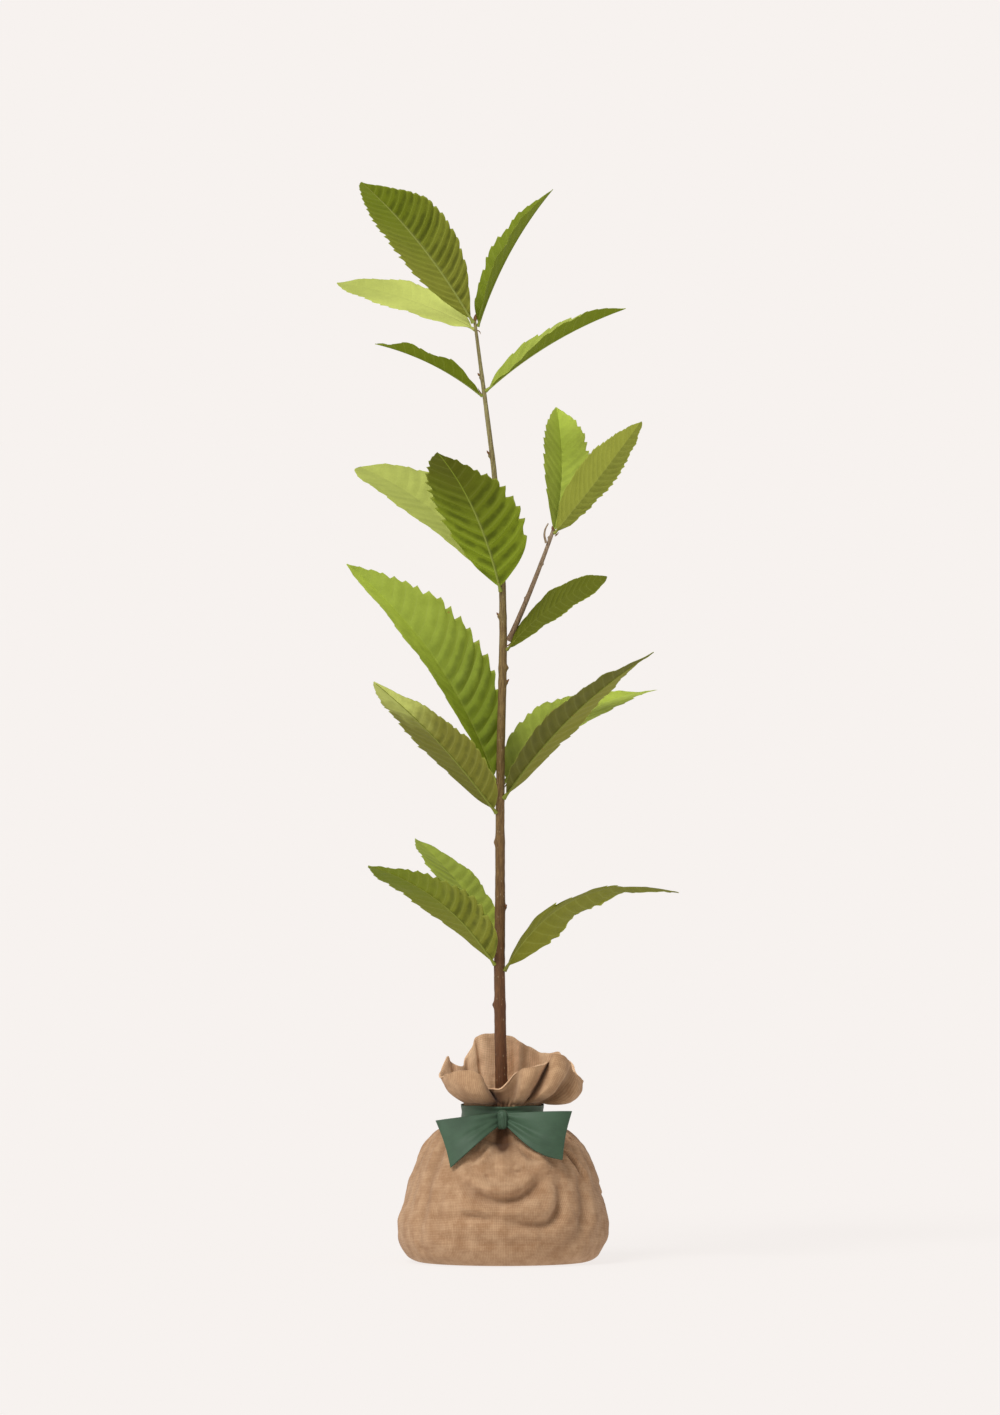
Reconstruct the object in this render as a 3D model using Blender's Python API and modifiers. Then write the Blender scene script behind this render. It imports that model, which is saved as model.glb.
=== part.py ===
"""A young sweet chestnut sapling whose root ball is wrapped in a burlap sack tied with a ribbon.

The origin is the centre of the sack's flat underside, +Z is up, and the bow of the ribbon faces -Y.
Lengths are written in millimetres and scaled by MM to metres where a shape is made.
"""

from math import cos, pi, radians, sin

import bmesh
import bpy
import numpy as np

MM = 0.001
GAP = 0.3

# The sack: its outline from the rim of the flat underside to the neck, as radius and height.
SACK_OUTLINE = (
    (63, 0),
    (71, 4),
    (77, 15),
    (78.5, 29),
    (72.5, 51),
    (67, 67),
    (59.5, 85),
    (49.5, 97),
    (38, 101),
)
SACK_DEPTH = 0.9
SACK_LUMPS, SACK_LUMP_HEIGHT, SACK_LUMP_TURN = 3, 1.4, 0.8
SACK_GATHERS, GATHER_HEIGHT = 13, 1.2
SACK_TOP = 103.7
SACK_FRONT_DIP, DIP_SPREAD = 10, 0.5
SHOULDER_FROM, SHOULDER_FULL = 0.55, 0.9
SACK_SEGMENTS = 40
NECK_RADIUS = 28.9
NECK_BLEND = 13
CLOTH = 1.6

# The open collar above the neck: azimuth from +X in degrees, reach from the axis, and height of its rim.
COLLAR_RIM = (
    (-90, 33, 131),
    (-62, 38, 144),
    (-40, 44, 148),
    (-20, 52, 138),
    (-5, 58, 134),
    (12, 52, 147),
    (30, 46, 154),
    (48, 43, 153),
    (65, 39, 160),
    (90, 36, 167),
    (122, 37, 163),
    (143, 36, 143),
    (160, 41, 151),
    (185, 46, 138),
    (212, 42, 142),
    (235, 38, 147),
    (254, 34, 136),
)
COLLAR_SEGMENTS = 54
COLLAR_ROWS = 6
COLLAR_PLEATS = 9
PLEAT_DEPTH, PLEAT_TURN = 2.0, 1.1
COLLAR_OUT, COLLAR_UP = 1.7, 1.25
COLLAR_DROOP, DROOP_AZIMUTH, DROOP_SPREAD = 3, -10, 35
COLLAR_CLEARS_BAND = 1.5

# The ribbon: a band round the neck, a knot in front of it and a flattened loop on each side.
BAND_BOTTOM, BAND_TOP = 104.6, 116.5
BAND = 1.6
KNOT_SIZE = (9, 10.5, 14)
KNOT_MIDDLE = 107
KNOT_ROUNDING = 2.6
LOOP_THICKNESS = 3.0
LOOP_ROOT = ((6.0, -37.5, 100.8), (6.0, -37.5, 112.3))
LEFT_LOOP_END = ((-38, -53, 72.5), (-49, -41, 106.5))
RIGHT_LOOP_END = ((44, -50, 78), (51, -40, 113.5))
LOOP_BULGE = 7
RIGHT_LOOP_SAG = 6

# The stem from its foot to its tip, as height, offset to +X and radius. Its buds and leaf scars follow,
# as height, azimuth and size.
STEM_COURSE = (
    (SACK_TOP + GAP, -0.5, 5.4),
    (127, -0.6, 4.7),
    (165, -1.5, 4.3),
    (215, -2.2, 4.1),
    (259, -1.8, 3.8),
    (290, -1.7, 3.6),
    (330, -1.8, 3.3),
    (380, -1.2, 3.1),
    (430, 0, 3.0),
    (461, 0.6, 2.9),
    (500, 0, 2.5),
    (548, -3, 2.2),
    (586, -6.4, 1.95),
    (603, -8.5, 1.8),
    (641, -13.4, 1.6),
    (668, -17, 1.35),
    (695, -20.5, 1.15),
)
STEM_SWAY = 2.5
STEM_SWAY_PERIOD = 420
BUDS = (
    (190, 205, 2.2),
    (262, 340, 2.0),
    (310, 215, 2.2),
    (428, 0, 1.6),
    (439, 10, 1.8),
    (477, 170, 1.7),
    (596, 200, 1.5),
    (654, 170, 1.1),
)

# The side branch, which rises from the stem just above a leaf.
BRANCH_HEIGHT = 461
BRANCH_REACH = (32, 3, 80)
BRANCH_BOW = -1
BRANCH_RADII = (2.1, 1.3)
BRANCH_LEAVES_AT = 0.975

# One leaf a line: what carries it and how high, its reach to the tip from where it leaves the carrier
# (right, back, up), its width, the rise of its midrib above the straight line to the tip, its sideways
# sway, its roll and twist about the midrib, how far its halves fold up, and how full its base and tip are.
LEAVES = {
    "leaf_top_front": dict(at=695, reach=(-81, -60, 102), width=58, bow=6, roll=-24, fold=13,
                           full=(0.55, 1.0)),
    "leaf_top_back": dict(at=689, reach=(-101, 60, 34), width=44, bow=5, roll=25, fold=3),
    "leaf_top_right": dict(at=692, reach=(55, 25, 100), width=36, bow=6, roll=5, fold=38),
    "leaf_upper_left": dict(at=640, reach=(-78, -20, 38), width=28, bow=5, roll=-5, fold=30),
    "leaf_upper_right": dict(at=644, reach=(102, -30, 60), width=42, bow=6, roll=-8, twist=45, fold=28),
    "leaf_branch_back": dict(at="branch", reach=(2, 60, 92), width=44, bow=-2, sway=5, roll=-17, fold=35,
                             full=(0.75, 1.0)),
    "leaf_branch_right": dict(at="branch", reach=(63, -30, 82), width=45, bow=-1, roll=-55, fold=5),
    "leaf_middle_back": dict(at=502, reach=(-102, 70, 84), width=50, bow=10, roll=17, fold=7,
                             full=(0.8, 0.9)),
    "leaf_middle_front": dict(at=497, reach=(-46, -85, 102), width=65, bow=11, roll=-15, fold=14,
                              full=(0.5, 1.0)),
    "leaf_fork_right": dict(at=453, reach=(73, -40, 54), width=34, bow=6, roll=-45, fold=5),
    "leaf_lower_long": dict(at=356, reach=(-109, 30, 159), width=66, bow=14, roll=35, fold=33),
    "leaf_lower_left": dict(at=333, reach=(-89, -60, 97), width=58, bow=5, roll=-8, fold=7),
    "leaf_lower_front": dict(at=344, reach=(109, -75, 108), width=50, bow=9, roll=4, fold=4,
                             full=(0.65, 1.15)),
    "leaf_lower_back": dict(at=355, reach=(104, 90, 64), width=52, bow=13, roll=5, fold=12, full=(0.6, 1.05)),
    "leaf_bottom_front": dict(at=221, reach=(-92, -60, 74), width=54, bow=12, roll=-15, fold=4,
                              full=(0.5, 1.05)),
    "leaf_bottom_back": dict(at=239, reach=(-60, 80, 71), width=48, bow=5, roll=-7, fold=8),
    "leaf_bottom_right": dict(at=217, reach=(127, -60, 58), width=56, bow=26, roll=-21, twist=62, fold=-8),
}
LEAF_THICKNESS = 1 / 95
LEAF_TEETH = 10
TOOTH_DEPTH = 0.1
VEIN_LEAN = 0.7
PETIOLE_SHARE = 0.05
PETIOLE_RADII = (1.1, 0.6)
PETIOLE_LENGTH = 0.7

# Base colour, roughness and metallic value of each material.
BARK = ("bark", (0.24, 0.15, 0.08), 0.8)
BURLAP = ("burlap", (0.43, 0.26, 0.14), 0.95)
RIBBON = ("ribbon", (0.06, 0.13, 0.08), 0.5)
LEAF = ("leaf", (0.16, 0.21, 0.03), 0.55)


def clear_scene():
    for item in list(bpy.data.objects):
        bpy.data.objects.remove(item)


def make_collection(name):
    collection = bpy.data.collections.new(name)
    bpy.context.scene.collection.children.link(collection)
    return collection


def make_material(name, colour, roughness):
    material = bpy.data.materials.new(name)
    material.use_nodes = True
    shader = material.node_tree.nodes["Principled BSDF"]
    shader.inputs["Base Color"].default_value = (*colour, 1)
    shader.inputs["Roughness"].default_value = roughness
    shader.inputs["Metallic"].default_value = 0
    return material


def add_object(name, mesh, collection, finish=None):
    """An object for this mesh, in metres, with a material of its own."""
    item = bpy.data.objects.new(name, mesh)
    collection.objects.link(item)
    if finish:
        label, colour, roughness = finish
        mesh.materials.clear()
        mesh.materials.append(make_material(f"{label} of {name}", colour, roughness))
    return item


def mesh_from(bm, name):
    mesh = bpy.data.meshes.new(name)
    bmesh.ops.recalc_face_normals(bm, faces=bm.faces[:])
    bm.to_mesh(mesh)
    bm.free()
    mesh.shade_smooth()
    mesh.set_sharp_from_angle(angle=radians(40))
    return mesh


def bend_grid(columns, rows, shape):
    """A grid whose two parameters, each from 0 to 1, are turned into a surface by shape(u, v) in mm."""
    bm = bmesh.new()
    bmesh.ops.create_grid(bm, x_segments=columns, y_segments=rows, size=1)
    places = np.array([vertex.co for vertex in bm.verts])
    surface = shape((places[:, 0] + 1) / 2, (places[:, 1] + 1) / 2) * MM
    for vertex, place in zip(bm.verts, surface):
        vertex.co = place
    bmesh.ops.remove_doubles(bm, verts=bm.verts[:], dist=0.02 * MM)
    return bm


def solidify(item, thickness):
    """A wall of this thickness in mm, half on each side of the open surface."""
    wall = item.modifiers.new("wall", "SOLIDIFY")
    wall.thickness = thickness * MM
    wall.offset = 0
    wall.use_even_offset = False


def evaluated_mesh(item, weld=0):
    """The mesh of the object with its modifiers applied, its points welded where nearer than weld in mm."""
    graph = bpy.context.evaluated_depsgraph_get()
    mesh = bpy.data.meshes.new_from_object(item.evaluated_get(graph))
    bm = bmesh.new()
    bm.from_mesh(mesh)
    if weld:
        bmesh.ops.remove_doubles(bm, verts=bm.verts[:], dist=weld * MM)
    bpy.data.meshes.remove(mesh)
    return mesh_from(bm, item.name)


def make_tube(name, points, radii, collection, sides=2):
    """A tapering tube along points, with flat ends, as a mesh object. Points and radii are in mm."""
    curve = bpy.data.curves.new(name, "CURVE")
    curve.dimensions = "3D"
    curve.bevel_depth = MM
    curve.bevel_resolution = sides
    curve.use_fill_caps = True
    spline = curve.splines.new("POLY")
    spline.points.add(len(points) - 1)
    for point, place, radius in zip(spline.points, points, radii):
        point.co = (*(np.array(place) * MM), 1)
        point.radius = radius
    guide = bpy.data.objects.new(name, curve)
    collection.objects.link(guide)
    mesh = evaluated_mesh(guide, weld=0.01)
    bpy.data.objects.remove(guide)
    bpy.data.curves.remove(curve)
    return add_object(name, mesh, collection)


def join_all(item, pieces):
    """One Boolean union of the object with every object of a collection, which is then emptied."""
    union = item.modifiers.new("union", "BOOLEAN")
    union.operation = "UNION"
    union.operand_type = "COLLECTION"
    union.collection = pieces
    union.solver = "EXACT"
    joined = evaluated_mesh(item)
    item.modifiers.clear()
    materials = list(item.data.materials)
    item.data = joined
    joined.materials.clear()
    for material in materials:
        joined.materials.append(material)
    for piece in list(pieces.objects):
        bpy.data.objects.remove(piece)
    bpy.data.collections.remove(pieces)


def unit(vectors):
    return vectors / np.linalg.norm(vectors, axis=-1, keepdims=True)


def periodic(angles, stations, values):
    """A smooth closed curve through values at the stations, in degrees, eased between neighbours."""
    stations = np.array(stations, float)
    values = np.array(values, float)
    order = np.argsort(stations)
    ring = np.concatenate((stations[order], [stations[order][0] + 360]))
    heights = np.concatenate((values[order], [values[order][0]]))
    turned = (angles - ring[0]) % 360 + ring[0]
    before = np.clip(np.searchsorted(ring, turned, side="right") - 1, 0, len(ring) - 2)
    part = (turned - ring[before]) / (ring[before + 1] - ring[before])
    eased = part * part * (3 - 2 * part)
    mixed = 0.5 * part + 0.5 * eased
    return heights[before] + (heights[before + 1] - heights[before]) * mixed


# The sack and its collar.


def sack_height_radius():
    """The turned outline of the sack, from the centre of its flat top down to the underside's centre."""
    radii = [radius for radius, _ in SACK_OUTLINE]
    heights = [height for _, height in SACK_OUTLINE]
    outline = [(0.0, SACK_TOP), (NECK_RADIUS, SACK_TOP), (NECK_RADIUS + 1.5, SACK_TOP - 1.2)]
    outline += list(zip(reversed(radii), reversed(heights)))
    return outline + [(0.0, 0.0)]


def slump(x, y, z):
    """How the turned sack departs from round: flatter front to back, with lumps, gathers on its shoulder
    and a dip under the knot. The neck itself stays round."""
    angle = np.arctan2(y, x)
    radius = np.hypot(x, y)
    share = np.clip(z / SACK_TOP, 0, 1)
    past_neck = np.clip((radius - NECK_RADIUS - 1) / NECK_BLEND, 0, 1)
    shoulder = np.clip((share - SHOULDER_FROM) / (SHOULDER_FULL - SHOULDER_FROM), 0, 1) * past_neck
    lumps = SACK_LUMP_HEIGHT * np.sin(SACK_LUMPS * angle + SACK_LUMP_TURN) * np.sin(pi * share)
    gathers = GATHER_HEIGHT * np.sin(SACK_GATHERS * angle) * shoulder
    reach = 1 + (lumps + gathers) / np.maximum(radius, NECK_RADIUS)
    depth = 1 + (SACK_DEPTH - 1) * past_neck
    front = np.exp(-(((angle + pi / 2) / DIP_SPREAD) ** 2))
    return x * reach, y * reach * depth, z - SACK_FRONT_DIP * front * shoulder


def make_sack(collection):
    """The filled body of the sack: a turned outline, then slumped."""
    bm = bmesh.new()
    corners = [bm.verts.new((radius * MM, 0, height * MM)) for radius, height in sack_height_radius()]
    for upper, lower in zip(corners, corners[1:]):
        bm.edges.new((upper, lower))
    mesh = bpy.data.meshes.new("outline")
    bm.to_mesh(mesh)
    bm.free()
    item = add_object("root_ball", mesh, collection)
    turn = item.modifiers.new("turn", "SCREW")
    turn.steps = SACK_SEGMENTS
    turn.render_steps = SACK_SEGMENTS
    turn.use_merge_vertices = True
    turn.merge_threshold = 0.00005
    turned = evaluated_mesh(item)
    bpy.data.objects.remove(item)
    places = np.array([vertex.co for vertex in turned.vertices]) / MM
    for vertex, place in zip(turned.vertices, np.stack(slump(*places.T), axis=1)):
        vertex.co = place * MM
    return add_object("root_ball", turned, collection, BURLAP)


def collar_surface(turn, rise):
    """The middle of the collar's cloth: straight up inside the band, then out to a ruffled rim."""
    azimuth = 360 * turn
    angle = np.radians(azimuth)
    stations = [station for station, _, _ in COLLAR_RIM]
    rim_reach = periodic(azimuth, stations, [reach for _, reach, _ in COLLAR_RIM])
    rim_height = periodic(azimuth, stations, [height for _, _, height in COLLAR_RIM])
    foot = SACK_TOP + GAP
    flare_from = BAND_TOP + COLLAR_CLEARS_BAND
    neck = NECK_RADIUS - CLOTH / 2
    rows = rise * COLLAR_ROWS
    flare = np.clip((rows - 1) / (COLLAR_ROWS - 1), 0, 1)
    pleats = PLEAT_DEPTH * np.sin(COLLAR_PLEATS * angle + PLEAT_TURN) * np.sin(pi * flare)
    radius = neck + (rim_reach - neck) * (1 - (1 - flare) ** COLLAR_OUT) + pleats
    low_side = np.exp(-((((azimuth - DROOP_AZIMUTH + 180) % 360 - 180) / DROOP_SPREAD) ** 2))
    rising = flare_from + (rim_height - flare_from) * flare ** (COLLAR_UP + low_side)
    sagging = np.maximum(rising - COLLAR_DROOP * low_side * np.sin(pi * flare), flare_from)
    height = np.where(rows < 1, foot + (flare_from - foot) * rows, sagging)
    return np.stack((radius * np.cos(angle), radius * np.sin(angle), height), axis=1)


def make_collar(collection):
    bm = bend_grid(COLLAR_SEGMENTS, COLLAR_ROWS, collar_surface)
    item = add_object("sack_collar", mesh_from(bm, "sack_collar"), collection, BURLAP)
    solidify(item, CLOTH)
    return item


# The ribbon.


def make_band(collection):
    """The ribbon drawn round the neck, as a turned strip with a wall."""
    inner = NECK_RADIUS + GAP + BAND / 2

    def strip(turn, rise):
        angle = 2 * pi * turn
        height = BAND_BOTTOM + (BAND_TOP - BAND_BOTTOM) * rise
        return np.stack((inner * np.cos(angle), inner * np.sin(angle), height), axis=1)

    bm = bend_grid(SACK_SEGMENTS, 1, strip)
    item = add_object("ribbon_band", mesh_from(bm, "ribbon_band"), collection, RIBBON)
    solidify(item, BAND)
    return item


def make_knot(collection):
    """The knot, a pinched block with round edges that touches the front of the band."""
    width, depth, height = KNOT_SIZE
    front_of_band = NECK_RADIUS + GAP + BAND
    bm = bmesh.new()
    bmesh.ops.create_cube(bm, size=1)
    bmesh.ops.scale(bm, vec=(width * MM, depth * MM, height * MM), verts=bm.verts[:])
    middle = -(front_of_band + GAP + depth / 2)
    bmesh.ops.translate(bm, vec=(0, middle * MM, KNOT_MIDDLE * MM), verts=bm.verts[:])
    item = add_object("bow_knot", mesh_from(bm, "bow_knot"), collection, RIBBON)
    edge = item.modifiers.new("round", "BEVEL")
    edge.width = KNOT_ROUNDING * MM
    edge.segments = 3
    return item


def make_loop(name, side, end, sag, collection):
    """A flattened loop of ribbon from the knot's side to its outer fold, bulging to the front. Its lower
    edge sags by this many mm halfway along."""
    root_low, root_high = (np.array((side * x, y, z)) for x, y, z in LOOP_ROOT)
    end_low, end_high = (np.array(corner) for corner in end)

    def sheet(out, rise):
        out, rise = out[:, None], rise[:, None]
        root = root_low + (root_high - root_low) * rise
        tip = end_low + (end_high - end_low) * rise
        place = root + (tip - root) * out
        swell = LOOP_BULGE * np.sin(pi * out**0.8) * (1 - 0.75 * rise)
        hang = sag * np.sin(pi * out) * (1 - rise)
        return place + swell * np.array((0, -1, 0.15)) - hang * np.array((0, 0, 1))

    bm = bend_grid(8, 5, sheet)
    item = add_object(name, mesh_from(bm, name), collection, RIBBON)
    solidify(item, LOOP_THICKNESS)
    return item


# The stem and its branch.


def stem_axis(height):
    """The middle of the stem at this height, and its radius."""
    heights = [station for station, _, _ in STEM_COURSE]
    offset = np.interp(height, heights, [x for _, x, _ in STEM_COURSE])
    radius = np.interp(height, heights, [r for _, _, r in STEM_COURSE])
    sway = STEM_SWAY * sin(pi * (height - SACK_TOP) / STEM_SWAY_PERIOD) ** 2
    return np.array((offset, sway, height)), radius


def make_stem(collection):
    """The whole stem from its flat cut to its tip, with the buds and leaf scars joined on."""
    top = STEM_COURSE[-1][0]
    heights = sorted({station for station, _, _ in STEM_COURSE} | set(np.arange(240.0, top, 60)))
    courses = [stem_axis(height) for height in heights]
    tube = make_tube("stem", [place for place, _ in courses], [radius for _, radius in courses], collection)
    buds = make_collection("buds")
    for index, (height, azimuth, size) in enumerate(BUDS):
        place, radius = stem_axis(height)
        outward = np.array((cos(radians(azimuth)), sin(radians(azimuth)), 0))
        bm = bmesh.new()
        bmesh.ops.create_uvsphere(bm, u_segments=8, v_segments=6, radius=1)
        bmesh.ops.scale(bm, vec=(size * MM, size * MM, 1.6 * size * MM), verts=bm.verts[:])
        centre = (place + outward * (radius + 0.1 * size)) * MM
        bmesh.ops.translate(bm, vec=centre, verts=bm.verts[:])
        add_object(f"bud_{index}", mesh_from(bm, "bud"), buds)
    join_all(tube, buds)
    tube.data.materials.append(make_material("bark of stem", *BARK[1:]))
    return tube


def arch(base, reach, bow, sway, share):
    """A limb's course at these shares of its length: a straight reach, raised by a parabola of height bow
    and pushed sideways by one of width sway. Also its direction, and its upward and right-hand normals."""
    reach = np.array(reach, float)
    along = unit(reach)
    upward = unit(np.array((0, 0, 1)) - along * along[2])
    offset = upward * bow + np.cross(along, upward) * sway
    share = np.asarray(share, float)[:, None]
    place = base + reach * share + offset * 4 * share * (1 - share)
    heading = unit(reach + offset * (4 - 8 * share))
    lift = unit(upward - heading * (heading @ upward)[:, None])
    return place, heading, lift, np.cross(heading, lift)


def seat(carrier_middle, carrier_radius, reach, bow, sway, foot_radius):
    """Where a limb's flat foot starts so that it clears the carrier's side by the gap."""
    _, heading, _, _ = arch(np.zeros(3), reach, bow, sway, [0.0])
    heading = heading[0]
    outward = unit(np.array((heading[0], heading[1], 0)))
    clearance = carrier_radius + GAP + foot_radius * abs(heading[2])
    return carrier_middle + outward * clearance


def branch_course(shares):
    """Points on the middle of the side branch, at these shares of its length."""
    middle, radius = stem_axis(BRANCH_HEIGHT)
    base = seat(middle, radius, BRANCH_REACH, BRANCH_BOW, 0, BRANCH_RADII[0])
    return arch(base, BRANCH_REACH, BRANCH_BOW, 0, shares)[0]


def make_branch(collection):
    """The side branch, one tapering limb from the stem to where its two leaves start."""
    shares = np.linspace(0, 1, 12)
    radii = np.interp(shares, (0, 1), BRANCH_RADII)
    item = make_tube("side_branch", branch_course(shares), radii, collection)
    item.data.materials.append(make_material("bark of side_branch", *BARK[1:]))
    return item


# The leaves.


def leaf_base(leaf):
    """Where the leaf's stalk starts, the gap clear of the stem's side or of the branch's tip."""
    bow, sway = leaf.get("bow", 0), leaf.get("sway", 0)
    if leaf["at"] == "branch":
        middle, radius = branch_course([BRANCH_LEAVES_AT])[0], BRANCH_RADII[1]
    else:
        middle, radius = stem_axis(leaf["at"])
    return seat(middle, radius, leaf["reach"], bow, sway, PETIOLE_RADII[0])


def blade_half_width(leaf, share):
    """Half the width at this share of the blade, widest between its base and its tip."""
    base, tip = leaf.get("full", (0.65, 1.05))
    widest = base / (base + tip)
    outline = share**base * (1 - share) ** tip
    return leaf["width"] / 2 * outline / (widest**base * (1 - widest) ** tip)


def blade_surface(leaf, base):
    """The blade as a function of the share along its midrib and across it, both from 0 to 1."""
    length = np.linalg.norm(leaf["reach"])

    def surface(along, across):
        side = 2 * across - 1
        half = blade_half_width(leaf, along)
        tooth = np.round(along * 2 * LEAF_TEETH) % 2
        half = half * (1 - TOOTH_DEPTH * (1 - tooth) * np.abs(side) ** 4)
        lean = VEIN_LEAN * half / length * np.abs(side) ** 1.3
        share = np.clip(PETIOLE_SHARE + along * (1 - PETIOLE_SHARE) + lean, 0, 1)
        place, _, lift, right = arch(base, leaf["reach"], leaf.get("bow", 0), leaf.get("sway", 0), share)
        turn = np.radians(leaf.get("roll", 0) + leaf.get("twist", 0) * (share - 0.5))[:, None]
        cross = np.cos(turn) * right + np.sin(turn) * lift
        normal = np.cos(turn) * lift - np.sin(turn) * right
        fold = radians(leaf["fold"])
        reach = (side * half)[:, None]
        return place + cross * reach * cos(fold) + normal * np.abs(reach) * sin(fold)

    return surface


def make_leaf(name, leaf, collection):
    """A toothed blade folded along its midrib, joined to the stalk that runs on as the midrib."""
    base = leaf_base(leaf)
    bm = bend_grid(2 * LEAF_TEETH, 2, blade_surface(leaf, base))
    blade = add_object(name, mesh_from(bm, name), collection)
    solidify(blade, LEAF_THICKNESS * np.linalg.norm(leaf["reach"]))
    blade.data = evaluated_mesh(blade)
    blade.modifiers.clear()
    stalk = make_collection("stalk")
    shares = np.linspace(0, PETIOLE_LENGTH, 6)
    course = arch(base, leaf["reach"], leaf.get("bow", 0), leaf.get("sway", 0), shares)[0]
    make_tube("rib", course, np.interp(shares, (0, PETIOLE_LENGTH), PETIOLE_RADII), stalk, sides=1)
    join_all(blade, stalk)
    blade.data.materials.append(make_material(f"leaf of {name}", *LEAF[1:]))
    return blade


clear_scene()
sapling = make_collection("sapling with root ball")
make_sack(sapling)
make_collar(sapling)
make_band(sapling)
make_knot(sapling)
make_loop("bow_left", -1, LEFT_LOOP_END, 0, sapling)
make_loop("bow_right", 1, RIGHT_LOOP_END, RIGHT_LOOP_SAG, sapling)
make_stem(sapling)
make_branch(sapling)
for leaf_name, leaf_shape in LEAVES.items():
    make_leaf(leaf_name, leaf_shape, sapling)
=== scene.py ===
"""A young sweet chestnut sapling whose root ball is wrapped in a burlap sack tied with a ribbon bow.

It stands on a pale studio floor. The frame's origin is the centre of the sack's flat underside, +Z is up
and the bow faces -Y. Lengths are written in millimetres; MM turns them into metres where a mesh is made.
"""

from math import atan2, cos, pi, radians, sin, sqrt

import bmesh
import bpy
import numpy as np
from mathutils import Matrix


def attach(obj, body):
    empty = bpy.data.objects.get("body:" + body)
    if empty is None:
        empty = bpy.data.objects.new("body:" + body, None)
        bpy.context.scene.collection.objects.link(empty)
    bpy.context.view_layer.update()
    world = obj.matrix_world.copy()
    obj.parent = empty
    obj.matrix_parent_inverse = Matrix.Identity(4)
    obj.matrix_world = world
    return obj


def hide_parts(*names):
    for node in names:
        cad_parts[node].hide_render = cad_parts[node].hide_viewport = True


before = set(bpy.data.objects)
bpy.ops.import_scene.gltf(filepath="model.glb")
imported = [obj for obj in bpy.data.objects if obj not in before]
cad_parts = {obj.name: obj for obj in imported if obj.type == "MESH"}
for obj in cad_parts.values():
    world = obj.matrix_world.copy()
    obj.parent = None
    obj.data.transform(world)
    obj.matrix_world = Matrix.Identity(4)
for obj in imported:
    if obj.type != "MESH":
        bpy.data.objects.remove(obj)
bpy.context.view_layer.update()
MM = 0.001

# ---------------------------------------------------------------------------------------------------
# The sack. It is a bag of woven jute, filled with the soil round the roots and slumped on its base.
# The cloth is drawn in to a tied neck, so gathers run down its shoulder, and its weight pulls slack
# swags across the front and creases round the sides.

SACK_OUTLINE = (
    (0, 0),
    (63, 0),
    (71, 4),
    (77, 15),
    (78.5, 29),
    (72.5, 51),
    (67, 67),
    (59.5, 85),
    (49.5, 97),
    (38, 101),
    (30.4, 102.5),
    (28.9, 103.7),
    (0, 103.7),
)
SACK_TOP = 103.7
SACK_DEPTH = 0.9
SACK_LUMPS, SACK_LUMP_HEIGHT, SACK_LUMP_TURN = 3, 1.4, 0.8
SACK_DIP, DIP_SPREAD = 10, 0.5
SHOULDER_FROM, SHOULDER_FULL = 0.55, 0.9
NECK_RADIUS, NECK_BLEND = 28.9, 13
SACK_COLUMNS, SACK_ROWS = 400, 190
SACK_ROUNDING = 14
CLOTH_RADIUS = 72
# The painted shade in the pit under the knot: its half-width in degrees, its height, and how far it spreads
# up and down.
PIT_WIDTH, PIT_HEIGHT, PIT_SPREAD = 8.5, 100.5, 6.5
# Creases as courses over the cloth, each point an azimuth in degrees from the bow and a height, with
# the depth and width of the groove and the height of the lip above it.
SACK_CREASES = (
    (((-28, 62), (-15, 51.5), (2, 46.5), (15, 52), (27, 66)), 4.0, 4.3, 4.2),
    (((-25, 37), (-14, 37.5), (-4, 34)), 2.6, 3.0, 2.4),
    (((-4, 37), (14, 30), (27, 30.5), (34, 38), (37, 50), (39, 62)), 3.2, 4.2, 3.0),
    (((60, 74), (57, 56), (54, 36), (46, 20), (32, 13)), 2.4, 5.6, 1.2),
    (((49, 86), (56, 79), (61, 70), (63, 64)), 3.4, 1.6, 1.6),
    (((66, 95), (72, 88), (76, 80)), 2.6, 1.6, 1.4),
    (((40, 92), (46, 82), (48, 74)), 2.0, 2.4, 1.6),
    (((-1, 105), (0, 99), (2, 93)), 4.6, 5.5, 0.6),
    (((-13, 97), (-16, 88), (-22, 80)), 2.0, 2.2, 1.4),
    (((13, 96), (19, 86), (28, 79)), 2.2, 2.4, 1.6),
    (((-51, 84), (-53, 66), (-50, 44), (-52, 18)), 1.3, 4.4, 1.0),
    (((-66, 80), (-69, 56), (-66, 30)), 0.6, 3.4, 0.5),
    (((-40, 62), (-38, 46), (-40, 30)), 0.8, 4.0, 0.7),
    (((-36, 22), (-16, 18), (6, 17), (24, 19)), 0.8, 3.6, 0.7),
    (((-11, 72), (-9, 68.5), (-8, 67)), 1.4, 1.5, 0.4),
    (((6, 76), (9, 73), (13, 74)), 1.0, 1.8, 0.8),
)
BACK_CREASES = 13
GATHERS = ((11, 0.9, 0.4), (17, 0.8, 2.1), (26, 0.5, 4.4))


def unit(vectors):
    """The same directions, each of length 1."""
    return vectors / np.linalg.norm(vectors, axis=-1, keepdims=True)


def hump(offset, width):
    """A bell that is 1 at no offset and falls off with the square of the offset over the width."""
    return np.exp(-((offset / width) ** 2))


def once_round(count):
    """Even angles once round a piece, as a row."""
    return np.linspace(0, 2 * pi, count, endpoint=False)[None, :]


def on_cloth(around, along):
    """The pair of places on the flat cloth for each point of a grid, from its two directions in mm."""
    return np.stack(np.broadcast_arrays(around, along), axis=-1)


def run_along(course):
    """How far along the course each of its points lies: the running sum of its steps."""
    return np.concatenate(([0], np.cumsum(np.linalg.norm(np.diff(course, axis=0), axis=1))))


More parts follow.
